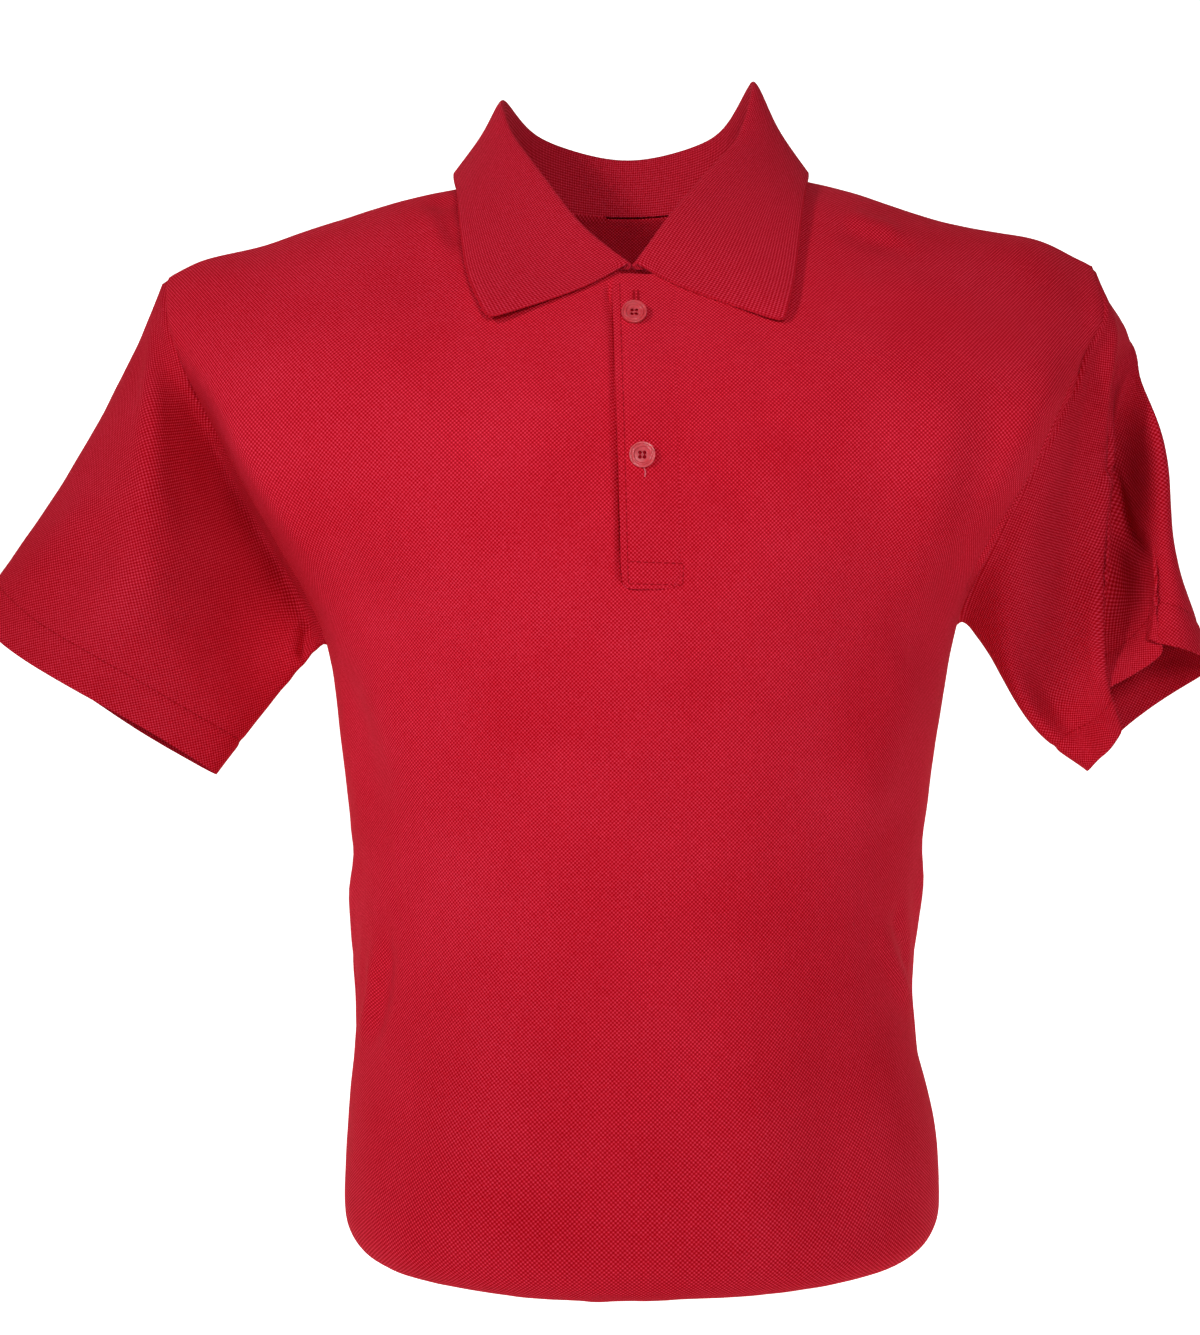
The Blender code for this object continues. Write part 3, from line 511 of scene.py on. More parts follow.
FOLDS = (
    # wearer's right sleeve: a crisp ridge down from the shoulder point, and the deep valley between
    # it and the chest, which opens towards the underarm
    Fold("front", (0.004, 0.012), (0.0030, 0.0030),
         ((-0.251, -0.078), (-0.246, -0.110), (-0.243, -0.145), (-0.238, -0.180), (-0.228, -0.215))),
    Fold("front", (0.003, 0.004), (-0.0040, -0.0070),
         ((-0.172, -0.234), (-0.173, -0.252), (-0.175, -0.272), (-0.177, -0.290))),
    Fold("front", 0.016, 0.0040, ((-0.322, -0.236), (-0.304, -0.208), (-0.286, -0.186), (-0.274, -0.170))),
    Fold("front", 0.020, -0.0030, ((-0.300, -0.250), (-0.276, -0.215), (-0.262, -0.180))),
    # wearer's left sleeve: the crisp crease under the chest, the soft hollow beside it, and drags
    Fold("front", (0.003, 0.005), (-0.0040, -0.0070),
         ((0.233, -0.088), (0.221, -0.112), (0.208, -0.137), (0.195, -0.162), (0.181, -0.190),
          (0.164, -0.226))),
    Fold("front", (0.006, 0.010), (0.0040, 0.0060),
         ((0.245, -0.104), (0.242, -0.150), (0.239, -0.200), (0.238, -0.245), (0.243, -0.290))),
    Fold("front", (0.005, 0.008), (-0.0030, -0.0050),
         ((0.248, -0.128), (0.253, -0.160), (0.262, -0.192), (0.270, -0.212))),
    Fold("front", 0.018, -0.0050, ((0.186, -0.130), (0.172, -0.160), (0.162, -0.195), (0.156, -0.232))),
    Fold("front", 0.022, 0.0040, ((0.160, -0.120), (0.146, -0.160), (0.138, -0.205), (0.134, -0.250))),
    # front: beside the collar and over the shoulders
    Fold("front", 0.0040, -0.0036, ((-0.096, 0.004), (-0.093, -0.010), (-0.090, -0.024), (-0.087, -0.036))),
    Fold("front", 0.0085, -0.0044,
         ((-0.101, -0.016), (-0.096, -0.030), (-0.088, -0.046), (-0.079, -0.058))),
    Fold("front", 0.0070, 0.0022, ((-0.104, -0.022), (-0.100, -0.040), (-0.091, -0.056))),
    Fold("front", 0.0100, 0.0022, ((0.104, -0.030), (0.120, -0.037), (0.136, -0.041))),
    Fold("front", 0.0090, -0.0020, ((0.099, -0.040), (0.118, -0.047), (0.142, -0.050))),
    Fold("front", 0.0120, 0.0014, ((0.094, -0.070), (0.119, -0.073), (0.150, -0.068))),
    # front: drags from the underarms and the waist
    Fold("front", 0.0240, 0.0040, ((-0.168, -0.205), (-0.140, -0.245), (-0.112, -0.300), (-0.095, -0.350))),
    Fold("front", 0.0200, -0.0040, ((-0.152, -0.250), (-0.136, -0.300), (-0.126, -0.350))),
    Fold("front", 0.0220, 0.0036, ((0.140, -0.250), (0.118, -0.300), (0.104, -0.350))),
    Fold("front", 0.0070, 0.0040, ((-0.134, -0.400), (-0.131, -0.416), (-0.134, -0.432), (-0.141, -0.450))),
    Fold("front", 0.0070, -0.0040,
         ((-0.124, -0.386), (-0.123, -0.410), (-0.127, -0.432), (-0.134, -0.452))),
    Fold("front", 0.0070, 0.0044, ((0.117, -0.384), (0.125, -0.402), (0.132, -0.418), (0.141, -0.436))),
    Fold("front", 0.0065, -0.0040, ((0.127, -0.378), (0.133, -0.394), (0.139, -0.412))),
    Fold("front", 0.0300, 0.0030, ((-0.085, -0.430), (-0.080, -0.490), (-0.082, -0.545))),
    Fold("front", 0.0260, -0.0026, ((-0.040, -0.400), (-0.036, -0.470), (-0.042, -0.540))),
    Fold("front", 0.0300, 0.0028, ((0.050, -0.410), (0.055, -0.480), (0.052, -0.548))),
    Fold("front", 0.0240, -0.0026, ((0.092, -0.430), (0.096, -0.490), (0.094, -0.550))),
    # back: from the armholes, across the shoulder blades, and down to the hem
    Fold("back", (0.006, 0.014), (-0.0041, -0.0121),
         ((-0.236, -0.105), (-0.222, -0.155), (-0.206, -0.200), (-0.190, -0.246))),
    Fold("back", (0.006, 0.014), (0.0041, 0.0081),
         ((-0.256, -0.115), (-0.250, -0.160), (-0.240, -0.205), (-0.226, -0.250))),
    Fold("back", (0.006, 0.013), (-0.0041, -0.0108),
         ((0.232, -0.100), (0.220, -0.145), (0.204, -0.190), (0.186, -0.232))),
    Fold("back", (0.006, 0.014), (0.0041, 0.0081),
         ((0.252, -0.110), (0.252, -0.160), (0.247, -0.215), (0.240, -0.262))),
    Fold("back", 0.0220, 0.0101, ((-0.170, -0.180), (-0.142, -0.225), (-0.118, -0.285), (-0.104, -0.340))),
    Fold("back", 0.0180, -0.0092, ((-0.150, -0.240), (-0.130, -0.300), (-0.122, -0.360))),
    Fold("back", 0.0210, 0.0092, ((0.166, -0.175), (0.140, -0.230), (0.116, -0.290), (0.100, -0.355))),
    Fold("back", 0.0170, -0.0088, ((0.144, -0.245), (0.126, -0.300), (0.118, -0.352))),
    Fold("back", 0.0260, -0.0059, ((-0.070, -0.090), (-0.030, -0.112), (0.020, -0.116), (0.066, -0.094))),
    Fold("back", 0.0300, 0.0078, ((-0.060, -0.360), (-0.066, -0.440), (-0.062, -0.540))),
    Fold("back", 0.0280, -0.0069, ((-0.010, -0.330), (-0.004, -0.430), (-0.008, -0.545))),
    Fold("back", 0.0300, 0.0073, ((0.052, -0.350), (0.048, -0.450), (0.056, -0.540))),
    # sides: short drags at the waist
    Fold("right", 0.0100, 0.0042, ((-0.040, -0.350), (-0.012, -0.385), (0.010, -0.430), (0.018, -0.480))),
    Fold("right", 0.0090, -0.0040, ((-0.020, -0.345), (0.010, -0.380), (0.032, -0.425))),
    Fold("left", 0.0100, 0.0042, ((-0.036, -0.345), (-0.010, -0.380), (0.008, -0.425), (0.014, -0.480))),
    Fold("left", 0.0090, -0.0040, ((-0.016, -0.340), (0.012, -0.378), (0.030, -0.420))),
)

# Under the base the cloth is drawn in to the hem in short gathers, all the way round.
GATHERS, GATHER_WIDTH, GATHER_HEIGHT = 20, 0.006, -0.0022
GATHER_STRAY, GATHER_BEAT, GATHER_SHARES = 0.3, 5.0, (0.92, 0.83, 0.74, 0.66)
BASE_HEART, BASE_HALF = (-0.003, -0.009), (0.138, 0.100)
for number in range(GATHERS):
    angle = 2 * math.pi * (number + GATHER_STRAY * math.sin(GATHER_BEAT * number)) / GATHERS
    FOLDS += (Fold("below", GATHER_WIDTH, GATHER_HEIGHT, tuple(
        (BASE_HEART[0] + BASE_HALF[0] * share * math.cos(angle),
         BASE_HEART[1] + BASE_HALF[1] * share * math.sin(angle)) for share in GATHER_SHARES
    )),)


def line_through(points, step):
    """Points every step along the smooth curve through these."""
    points = [Vector(point) for point in points]
    ends = [2 * points[0] - points[1]] + points + [2 * points[-1] - points[-2]]
    run = []
    for a, b, c, d in zip(ends, ends[1:], ends[2:], ends[3:]):
        count = max(2, round((c - b).length / step))
        for k in range(count):
            t = k / count
            run.append(0.5 * (
                2 * b + (c - a) * t + (2 * a - 5 * b + 4 * c - d) * t * t
                + (3 * b - a - 3 * c + d) * t * t * t
            ))
    return run + [points[-1]]


def near_line(points, line):
    """Each point's distance from a line, its share of the way along it, and its side of it."""
    line = np.asarray(line)
    best = np.full(len(points), np.inf)
    along = np.zeros(len(points))
    index = np.zeros(len(points), int)
    lengths = np.linalg.norm(np.diff(line, axis=0), axis=1)
    total = lengths.sum()
    gone = 0.0
    for k, length in enumerate(lengths):
        run = (line[k + 1] - line[k]) / length
        step = np.clip((points - line[k]) @ run, 0.0, length)
        gap = np.linalg.norm(points - (line[k] + step[:, None] * run), axis=1)
        closer = gap < best
        best[closer] = gap[closer]
        along[closer] = (gone + step[closer]) / total
        index[closer] = k
        gone += length
    return best, along, index


def smoothstep(value):
    value = np.clip(value, 0.0, 1.0)
    return value * value * (3 - 2 * value)


def sizes_along(values, along):
    """A fold's size along its line: one number, or several spread evenly from start to end."""
    values = values if isinstance(values, tuple) else (values, values)
    return np.interp(along, np.linspace(0.0, 1.0, len(values)), values)


def fold_heights(piece, folds):
    """How far each vertex of a cloth moves out along its normal for these folds."""
    data = piece.data
    points, normals = read_points(data), read_normals(data)
    tree = surface_of(data)
    lift = np.zeros(len(points))
    for number, fold in enumerate(folds):
        heading, start = FACING[fold.side]
        line, out = [], []
        for place in line_through([(a, b, 0.0) for a, b in fold.line], FOLD_STEP):
            hit, normal, face, gap = tree.ray_cast(Vector(start(place[0], place[1])), Vector(heading))
            if hit is not None and (not line or (hit - line[-1]).length < LONGEST_JUMP):
                line.append(hit)
                out.append(normal)
        line, out = np.array(line), np.array(out)
        reach = FOLD_REACH * FLANK_REACH * np.max(fold.width)
        near = np.flatnonzero(
            ((points > line.min(axis=0) - reach) & (points < line.max(axis=0) + reach)).all(axis=1)
        )
        gap, along, index = near_line(points[near], line)
        index = np.minimum(index, len(out) - 1)
        alike = np.einsum("ij,ij->i", normals[near], out[index])
        same_side = smoothstep((alike - SAME_FROM) / SAME_SOFT)
        ends = smoothstep(along / LINE_END) * smoothstep((1 - along) / LINE_END)
        beats = np.sin(SHORT_BEAT * along + BEAT_SHIFT * number) * np.sin(LONG_BEAT * along + number)
        uneven = 1 + UNEVEN * beats
        width, height = sizes_along(fold.width, along), sizes_along(fold.height, along)
        shape = np.exp(-((gap / width) ** 2))
        shape -= FLANK_SHARE * np.exp(-((gap / (FLANK_REACH * width)) ** 2))
        lift[near] += height * shape * ends * uneven * same_side
    return lift


# The deep hollows, where the cloth falls back between sleeve and chest: pushed straight back, to one
# side of the line only where the edge of the chest hangs over the sleeve. One with a floor presses
# only what stands in front of that depth.
Hollow = namedtuple("Hollow", "width depth line side power wall floor", defaults=(1.6, 0.0025, None))
HOLLOWS = (
    # between the wearer's right sleeve and the chest
    Hollow((0.006, 0.011, 0.017, 0.021, 0.023, 0.022), (0.008, 0.026, 0.044, 0.054, 0.054, 0.034, 0.000),
           ((-0.243, -0.082), (-0.236, -0.104), (-0.221, -0.134), (-0.202, -0.176), (-0.187, -0.203),
            (-0.173, -0.234), (-0.163, -0.256), (-0.157, -0.276)), -1, 1.5, 0.008, 0.030),
    Hollow((0.012, 0.020, 0.026, 0.030, 0.030), (-0.003, -0.012, -0.016, -0.014, -0.004),
           ((-0.256, -0.080), (-0.250, -0.120), (-0.247, -0.160), (-0.243, -0.205), (-0.236, -0.260)), 0),
    Hollow((0.012, 0.016), (-0.003, -0.008, -0.008, -0.003),
           ((-0.218, -0.120), (-0.194, -0.156), (-0.168, -0.200), (-0.150, -0.236)), 0),
    # between the chest and the wearer's left sleeve
    Hollow((0.004, 0.006, 0.008, 0.008), (0.003, 0.006, 0.008, 0.005),
           ((0.234, -0.092), (0.214, -0.128), (0.196, -0.164), (0.180, -0.200), (0.166, -0.232)), 1),
    Hollow((0.010, 0.018, 0.022, 0.018), (-0.002, -0.010, -0.016, -0.014, -0.004),
           ((0.222, -0.098), (0.202, -0.130), (0.183, -0.164), (0.167, -0.200), (0.153, -0.238)), 0),
    # behind the sleeve's long fold
    Hollow((0.011, 0.018, 0.021, 0.015), (0.004, 0.034, 0.040, 0.008),
           ((0.246, -0.086), (0.247, -0.123), (0.246, -0.185), (0.243, -0.247), (0.247, -0.286)), 1, 2.6),
    # the wearer's left sleeve turns away from the chest
    Hollow((0.022, 0.032, 0.036), (0.006, 0.028, 0.040, 0.038, 0.014),
           ((0.238, -0.090), (0.242, -0.150), (0.244, -0.210), (0.244, -0.270), (0.246, -0.330)),
           0, 2.0, floor=-0.008),
    Hollow((0.020, 0.022, 0.024, 0.024), (0.000, 0.012, 0.026, 0.028, 0.014, 0.000),
           ((0.228, -0.130), (0.225, -0.180), (0.221, -0.215), (0.220, -0.250), (0.224, -0.330)),
           0, 2.0, floor=-0.008),
    Hollow(0.036, (0.000, 0.008, 0.018, 0.018),
           ((0.205, -0.200), (0.215, -0.290), (0.225, -0.380), (0.235, -0.470)),
           0, 2.0, floor=-0.004),
)
FACING_FROM, FACING_SOFT, PRESS_SOFT = 0.08, 0.5, 0.035


# The wearer's left sleeve stands out at its cap and falls in below it: each shift's height, half
# height, way outwards, the share of it in front, and where across it starts and how soon it is whole.
Shift = namedtuple("Shift", "z half out front start reach")
CAP_SHIFTS = (
    Shift(-0.088, 0.023, 0.0190, 0.45, 0.226, 0.009),
    Shift(-0.200, 0.080, 0.0050, 1.0, 0.220, 0.012),
    Shift(-0.190, 0.056, -0.0090, 1.0, 0.252, 0.020),
)
BEHIND_FROM, BEHIND_SOFT = -0.02, 0.03


def cap_shift(points):
    """How far the sleeve's outer side moves outwards."""
    behind = smoothstep((points[:, 1] - BEHIND_FROM) / BEHIND_SOFT)
    return sum(
        shift.out * (shift.front + (1 - shift.front) * behind)
        * np.exp(-(((points[:, 2] - shift.z) / shift.half) ** 2))
        * smoothstep((points[:, 0] - shift.start) / shift.reach)
        for shift in CAP_SHIFTS
    )


# The tips of the shoulders stand up: each one's place, half width and height.
TIPS = ((-0.228, -0.060, 0.026, 0.0055), (0.208, -0.050, 0.022, 0.0040), (0.150, -0.030, 0.030, -0.0030))


def tip_shift(points):
    """How far the shoulders are lifted at their tips."""
    return sum(
        height * np.exp(-((points[:, 0] - x) ** 2 + (points[:, 2] - z) ** 2) / half ** 2)
        for x, z, half, height in TIPS
    )


def pushed_back(points, normals, hollows):
    """How far each point of the cloth's front is pushed back."""
    back = np.zeros(len(points))
    facing = smoothstep((-normals[:, 1] - FACING_FROM) / FACING_SOFT)
    for hollow in hollows:
        line = np.array(line_through([(x, 0.0, z) for x, z in hollow.line], FOLD_STEP))
        flat = points * (1.0, 0.0, 1.0)
        gap, along, index = near_line(flat, line)
        run = line[np.minimum(index + 1, len(line) - 1)] - line[np.minimum(index, len(line) - 2)]
        offset = flat - line[index]
        side = np.sign(offset[:, 0] * -run[:, 2] + offset[:, 2] * run[:, 0])
        ends = smoothstep(along / LINE_END) * smoothstep((1 - along) / LINE_END)
        width, depth = sizes_along(hollow.width, along), sizes_along(hollow.depth, along)
        shape = np.exp(-((gap / width) ** hollow.power))
        if hollow.side:
            shape = np.where(side * hollow.side > 0, shape, np.exp(-((gap / hollow.wall) ** 2)))
        reached = facing
        if hollow.floor is not None:
            reached = smoothstep((hollow.floor - points[:, 1]) / PRESS_SOFT)
        back += depth * shape * ends * reached
    return back


HOLLOW_LEVELS, FOLD_LEVELS = 2, 1
DRIFTS, DRIFT_SHIFT = ((9.0, 0.0016), (24.0, 0.0007), (62.0, 0.00022)), 3.7


def drift(points, scale, shift=0.0):
    return np.array([noise.noise(Vector(point) * scale + Vector((shift, 0.0, 0.0))) for point in points])


apply(shell, "SUBSURF", levels=HOLLOW_LEVELS, render_levels=HOLLOW_LEVELS)
shell_points = read_points(shell.data)
shell_points[:, 1] += pushed_back(shell_points, read_normals(shell.data), HOLLOWS)
shell_points[:, 0] += cap_shift(shell_points)
shell_points[:, 2] += tip_shift(shell_points)
write_points(shell.data, shell_points)
shell.data.uv_layers.new(name="flat")
cuts = {cut.node: lay_flat(shell, index, cut.low, cut.high) for index, cut in enumerate(CUTS)}
apply(shell, "SUBSURF", levels=FOLD_LEVELS, render_levels=FOLD_LEVELS)
shell_points = read_points(shell.data)
shell_lift = fold_heights(shell, FOLDS)
for number, (scale, height) in enumerate(DRIFTS):
    shell_lift += height * drift(shell_points, scale, DRIFT_SHIFT * number)


# ---- Hems and stitch lines
# Sleeves and body end in a hem of two thicknesses, held by one row of stitches; the placket has an
# edge row and a box at its foot. A row pulls the cloth in, so it runs in a shallow groove.

CUFF_HEM, BODY_HEM = 0.021, 0.024
HEM_RISE, HEM_STEP, HEM_REACH = 0.00035, 0.002, 0.045
ROW_WIDTH, ROW_DEPTH, PLACKET_ROW_DEPTH, ROW_STEP = 0.0022, 0.00045, 0.000225, 0.0015
CUFF_BEYOND, BASE_BELOW = 0.2, -0.5


def edge_distance(data, starts, reach):
    """Each vertex's distance from an open edge, measured along the cloth."""
    points = read_points(data)
    near = {}
    for edge in data.edges:
        a, b = edge.vertices
        length = float(np.linalg.norm(points[a] - points[b]))
        near.setdefault(a, []).append((b, length))
        near.setdefault(b, []).append((a, length))
    gap = np.full(len(points), np.inf)
    gap[starts] = 0.0
    ahead = [(0.0, int(start)) for start in starts]
    heapq.heapify(ahead)
    while ahead:
        here, vertex = heapq.heappop(ahead)
        if here > gap[vertex]:
            continue
        for other, length in near[vertex]:
            there = here + length
            if there < gap[other] and there < reach:
                gap[other] = there
                heapq.heappush(ahead, (there, other))
    return gap


def open_loops(data):
    """The cloth's open edges, each as its vertices in order."""
    uses = {}
    for polygon in data.polygons:
        for key in polygon.edge_keys:
            uses[key] = uses.get(key, 0) + 1
    near = {}
    for (a, b), count in uses.items():
        if count == 1:
            near.setdefault(a, []).append(b)
            near.setdefault(b, []).append(a)
    loops, left = [], set(near)
    while left:
        loop = [min(left)]
        left.discard(loop[0])
        while True:
            more = [vertex for vertex in near[loop[-1]] if vertex in left]
            if not more:
                break
            loop.append(min(more))
            left.discard(loop[-1])
        loops.append(loop)
    return loops


def level_lines(data, field, level):
    """The lines on which a field over the cloth has this value, as lists of (place, normal)."""
    points, normals = read_points(data), read_normals(data)
    at, links = {}, {}
    for polygon in data.polygons:
        corners = list(polygon.vertices)
        cut = []
        for a, b in zip(corners, corners[1:] + corners[:1]):
            if np.isfinite(field[a] + field[b]) and (field[a] < level) != (field[b] < level):
                key = (min(a, b), max(a, b))
                share = (level - field[key[0]]) / (field[key[1]] - field[key[0]])
                at[key] = [
                    rows[key[0]] * (1 - share) + rows[key[1]] * share for rows in (points, normals)
                ]
                cut.append(key)
        if len(cut) == 2:
            links.setdefault(cut[0], []).append(cut[1])
            links.setdefault(cut[1], []).append(cut[0])
    lines, left = [], set(links)
    while left:
        start = next((key for key in left if len(links[key]) == 1), next(iter(sorted(left))))
        line = [start]
        left.discard(start)
        while True:
            more = [key for key in links[line[-1]] if key in left]
            if not more:
                break
            line.append(more[0])
            left.discard(more[0])
        if start in links[line[-1]] and len(line) > 2:
            line.append(start)
        lines.append([at[key] for key in line])
    return lines


hem_fields = []
for loop in open_loops(shell.data):
    centre = shell_points[loop].mean(axis=0)
    for hem, found in ((CUFF_HEM, abs(centre[0]) > CUFF_BEYOND), (BODY_HEM, centre[2] < BASE_BELOW)):
        if found:
            hem_fields.append((hem, edge_distance(shell.data, loop, HEM_REACH)))
PLACKET_EDGE_ROW = ((-0.0087, -0.074), (-0.0079, -0.110), (-0.0068, -0.150), (-0.0058, -0.190),
                    (-0.0050, -0.2212))
BOX_ROW = ((-0.0050, -0.2212), (0.0080, -0.2214), (0.0206, -0.2217))
BOX_END = ((0.0206, -0.2217), (0.0207, -0.2165), (0.0208, -0.2116))
BOX_TOP = ((0.0208, -0.2116), (0.0080, -0.2112), (-0.0050, -0.2108))
PLACKET_ROWS = (PLACKET_EDGE_ROW, BOX_ROW, BOX_END, BOX_TOP)


def on_cloth(data, line, step=ROW_STEP):
    """A line of (x, z) laid on the front of a cloth, with the cloth's normals there."""
    tree = surface_of(data)
    laid = []
    for x, z, _ in line_through([(x, z, 0.0) for x, z in line], step):
        hit, normal, face, gap = tree.ray_cast(Vector((x, -1.0, z)), Vector((0.0, 1.0, 0.0)))
        if hit is not None:
            laid.append((np.array(hit), np.array(normal)))
    return laid


# the cloth dips beside the placket's free edge, and puckers along its seams
PLACKET_FREE_EDGE = (
    (-0.0140, -0.0705), (-0.0124, -0.090), (-0.0111, -0.120), (-0.0100, -0.160), (-0.0090, -0.195),
    (-0.0080, -0.2235),
)
DITCH_WIDTH, DITCH_DEPTH, EDGE_RISE, DITCH_FOOT, DITCH_HEAD = 0.0013, 0.0030, 0.0009, 0.03, 0.06
BODY_SEAMS = {(FRONT, BACK)}
ARMHOLES = {(panel, sleeve) for panel in (FRONT, BACK) for sleeve in (SLEEVE_RIGHT, SLEEVE_LEFT)}
SEAM_WIDTH, SEAM_FADE, SEAM_DEPTH, ARMHOLE_DEPTH = 0.0018, 0.0072, 0.0009, 0.0014
PUCKER, PUCKER_SCALE = 0.4, 90.0
free_edge = np.array([place for place, normal in on_cloth(shell.data, PLACKET_FREE_EDGE)])
gap, along, index = near_line(shell_points, free_edge)
piece_of = np.zeros(len(shell_points), int)
sides_of = {}
for polygon in shell.data.polygons:
    piece = shell.data.attributes["piece"].data[polygon.index].value
    corners = list(polygon.vertices)
    piece_of[corners] = np.maximum(piece_of[corners], piece)
    for key in polygon.edge_keys:
        sides_of.setdefault(key, set()).add(piece)
beside = np.exp(-((gap / DITCH_WIDTH) ** 2))
beside *= smoothstep((1 - along) / DITCH_FOOT) * smoothstep(along / DITCH_HEAD)
shell_lift += EDGE_RISE * beside * (piece_of == PLACKET) - DITCH_DEPTH * beside * (piece_of == FRONT)
pucker = 1 + PUCKER * drift(shell_points, PUCKER_SCALE)
for joined, seam_depth in ((BODY_SEAMS, SEAM_DEPTH), (ARMHOLES, ARMHOLE_DEPTH)):
    seams = {v for key, pieces in sides_of.items() if tuple(sorted(pieces)) in joined for v in key}
    seam_gap = edge_distance(shell.data, sorted(seams), SEAM_FADE)
    groove = seam_depth * pucker * np.exp(-((seam_gap / SEAM_WIDTH) ** 2))
    shell_lift -= np.where(np.isfinite(seam_gap), groove, 0.0)
for hem, field in hem_fields:
    row = np.exp(-(((field - hem) / ROW_WIDTH) ** 2))
    rise = HEM_RISE * smoothstep((hem - field) / HEM_STEP) - ROW_DEPTH * row
    shell_lift += np.where(np.isfinite(field), rise, 0.0)
for line in PLACKET_ROWS:
    places = np.array([place for place, normal in on_cloth(shell.data, line)])
    gap, along, index = near_line(shell_points, places)
    shell_lift -= PLACKET_ROW_DEPTH * np.exp(-((gap / ROW_WIDTH) ** 2))
write_points(shell.data, shell_points + read_normals(shell.data) * shell_lift[:, None])
hem_rows = [
    line for hem, field in hem_fields for line in level_lines(shell.data, field, hem)
]
placket_rows = [on_cloth(shell.data, line) for line in PLACKET_ROWS]


# ---- Collar
# One flat-knit strip with fine ribs, sewn round the neck, standing and folding over; its free edges
# are a knitted selvedge of small scallops.

COLLAR_WALL, COLLAR_CLOTH, COLLAR_EDGE, COLLAR_LEVELS = 0.0018, 0.0014, 0.0005, 2
RIB_PITCH, COURSE_PITCH, FUZZ_SCALE = 0.00125, 0.0012, 1000.0
# dark colour: painted shade between the ribs; pale colour: painted highlight on the rib tops
RIB_GAP_SHADE, RIB_RED = (0.36, 0.0000, 0.0010, 1.0), (0.78, 0.0100, 0.0340, 1.0)
RIB_TOP_HIGHLIGHT, RIB_BLOOM = (0.88, 0.0640, 0.1280, 1.0), (1.0, 0.35, 0.4, 1.0)
RIB_SHARE, COURSE_SHARE, FUZZ_SHARE, RIB_DROP = 0.50, 0.40, 0.40, 0.15
COURSE_RELIEF, FUZZ_RELIEF, RIB_RELIEF, RIB_DEPTH = 0.6, 0.4, 0.6, 0.00035
NECK_HALF, NECK_LOW, NECK_REACH = 0.095, -0.072, 0.0072
NECK_X, NECK_OPEN = 0.002, 0.018
CORNER_SHARP = 0.35
HORNS, HORN_HALF, HORN_FROM, HORN_REACH = ((-0.066, 0.0035), (0.060, 0.0065)), 0.012, 0.005, 0.030
EDGE_ANGLE = math.radians(60)


def lay_in_rows(piece):
    """Lays a piece of even rows flat, row beside row, in metres."""
    only(piece)
    data = piece.data
    bpy.ops.object.mode_set(mode="EDIT")
    bpy.ops.mesh.select_all(action="SELECT")
    bpy.ops.uv.reset()
    mesh = bmesh.from_edit_mesh(data)
    mesh.faces.ensure_lookup_table()
    middle = mesh.faces[len(mesh.faces) // 2]
    mesh.faces.active = middle
    flat = mesh.loops.layers.uv.active
    sides = []
    for loop in middle.loops:
        step = loop.link_loop_next[flat].uv - loop[flat].uv
        sides.append((abs(step.x) > abs(step.y), loop.edge.calc_length()))
    bmesh.update_edit_mesh(data)
    bpy.ops.uv.follow_active_quads(mode="LENGTH_AVERAGE")
    bpy.ops.object.mode_set(mode="OBJECT")
    wide = sum(length for across, length in sides if across) / 2
    tall = sum(length for across, length in sides if not across) / 2
    spread = read_flat(data) * (wide, tall)
    write_flat(data, spread)
    return size_of(spread), sum(polygon.area for polygon in data.polygons)


def thicken(piece, thickness, edge):
    apply(piece, "SOLIDIFY", thickness=thickness, offset=-1.0, use_rim=True, use_even_offset=False)
    apply(piece, "BEVEL", width=edge, segments=2, limit_method="ANGLE", angle_limit=EDGE_ANGLE)
    piece.data.shade_smooth()


def stands_for(piece, node):
    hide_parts(node)
    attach(piece, "root")


collar = piece_from("collar_cloth", outer_wall("collar", COLLAR_WALL, BODY_HEART))
collar_flat, collar_area = lay_in_rows(collar)

rib = knit_finish("rib_cloth", 0.88, RIB_BLOOM)
along, across = rib.across()
ribs = (along * (2 * math.pi / RIB_PITCH)).maths("SINE") * 0.5 + 0.5
courses = (across * (2 * math.pi / COURSE_PITCH)).maths("SINE") * 0.5 + 0.5
fuzz = rib.noise(FUZZ_SCALE, KNIT_DETAIL)
# ribs and courses give painted shade between them and a painted highlight on their tops; the fuzz noise is
# the yarn's own uneven tone
shade_and_tone = ribs * RIB_SHARE + courses * COURSE_SHARE + fuzz * FUZZ_SHARE - RIB_DROP
rib.set(
    Base_Color=knit_colour(rib, shade_and_tone, RIB_GAP_SHADE, RIB_RED, RIB_TOP_HIGHLIGHT),
    Normal=rib.bump(ribs + courses * COURSE_RELIEF + fuzz * FUZZ_RELIEF, RIB_RELIEF, RIB_DEPTH),
)
collar.data.materials.append(rib.material)
corner = collar.data.attributes.new("crease_vert", "FLOAT", "POINT")
for loop in open_loops(collar.data):
    for vertex in loop:
        if sum(vertex in polygon.vertices for polygon in collar.data.polygons) == 1:
            corner.data[vertex].value = CORNER_SHARP
apply(collar, "SUBSURF", levels=COLLAR_LEVELS, render_levels=COLLAR_LEVELS)
collar_points = read_points(collar.data)
for x, height in HORNS:
    above = smoothstep((collar_points[:, 2] - HORN_FROM) / HORN_REACH)
    collar_points[:, 2] += height * above * np.exp(-(((collar_points[:, 0] - x) / HORN_HALF) ** 2))
write_points(collar.data, collar_points)
collar_points, collar_normals = read_points(collar.data), read_normals(collar.data)
rim = max(open_loops(collar.data), key=len)
neckline = read_points(shell.data)
neck_loop = [
    vertex for loop in open_loops(shell.data) for vertex in loop
    if abs(neckline[vertex][0]) < NECK_HALF and neckline[vertex][2] > NECK_LOW
]
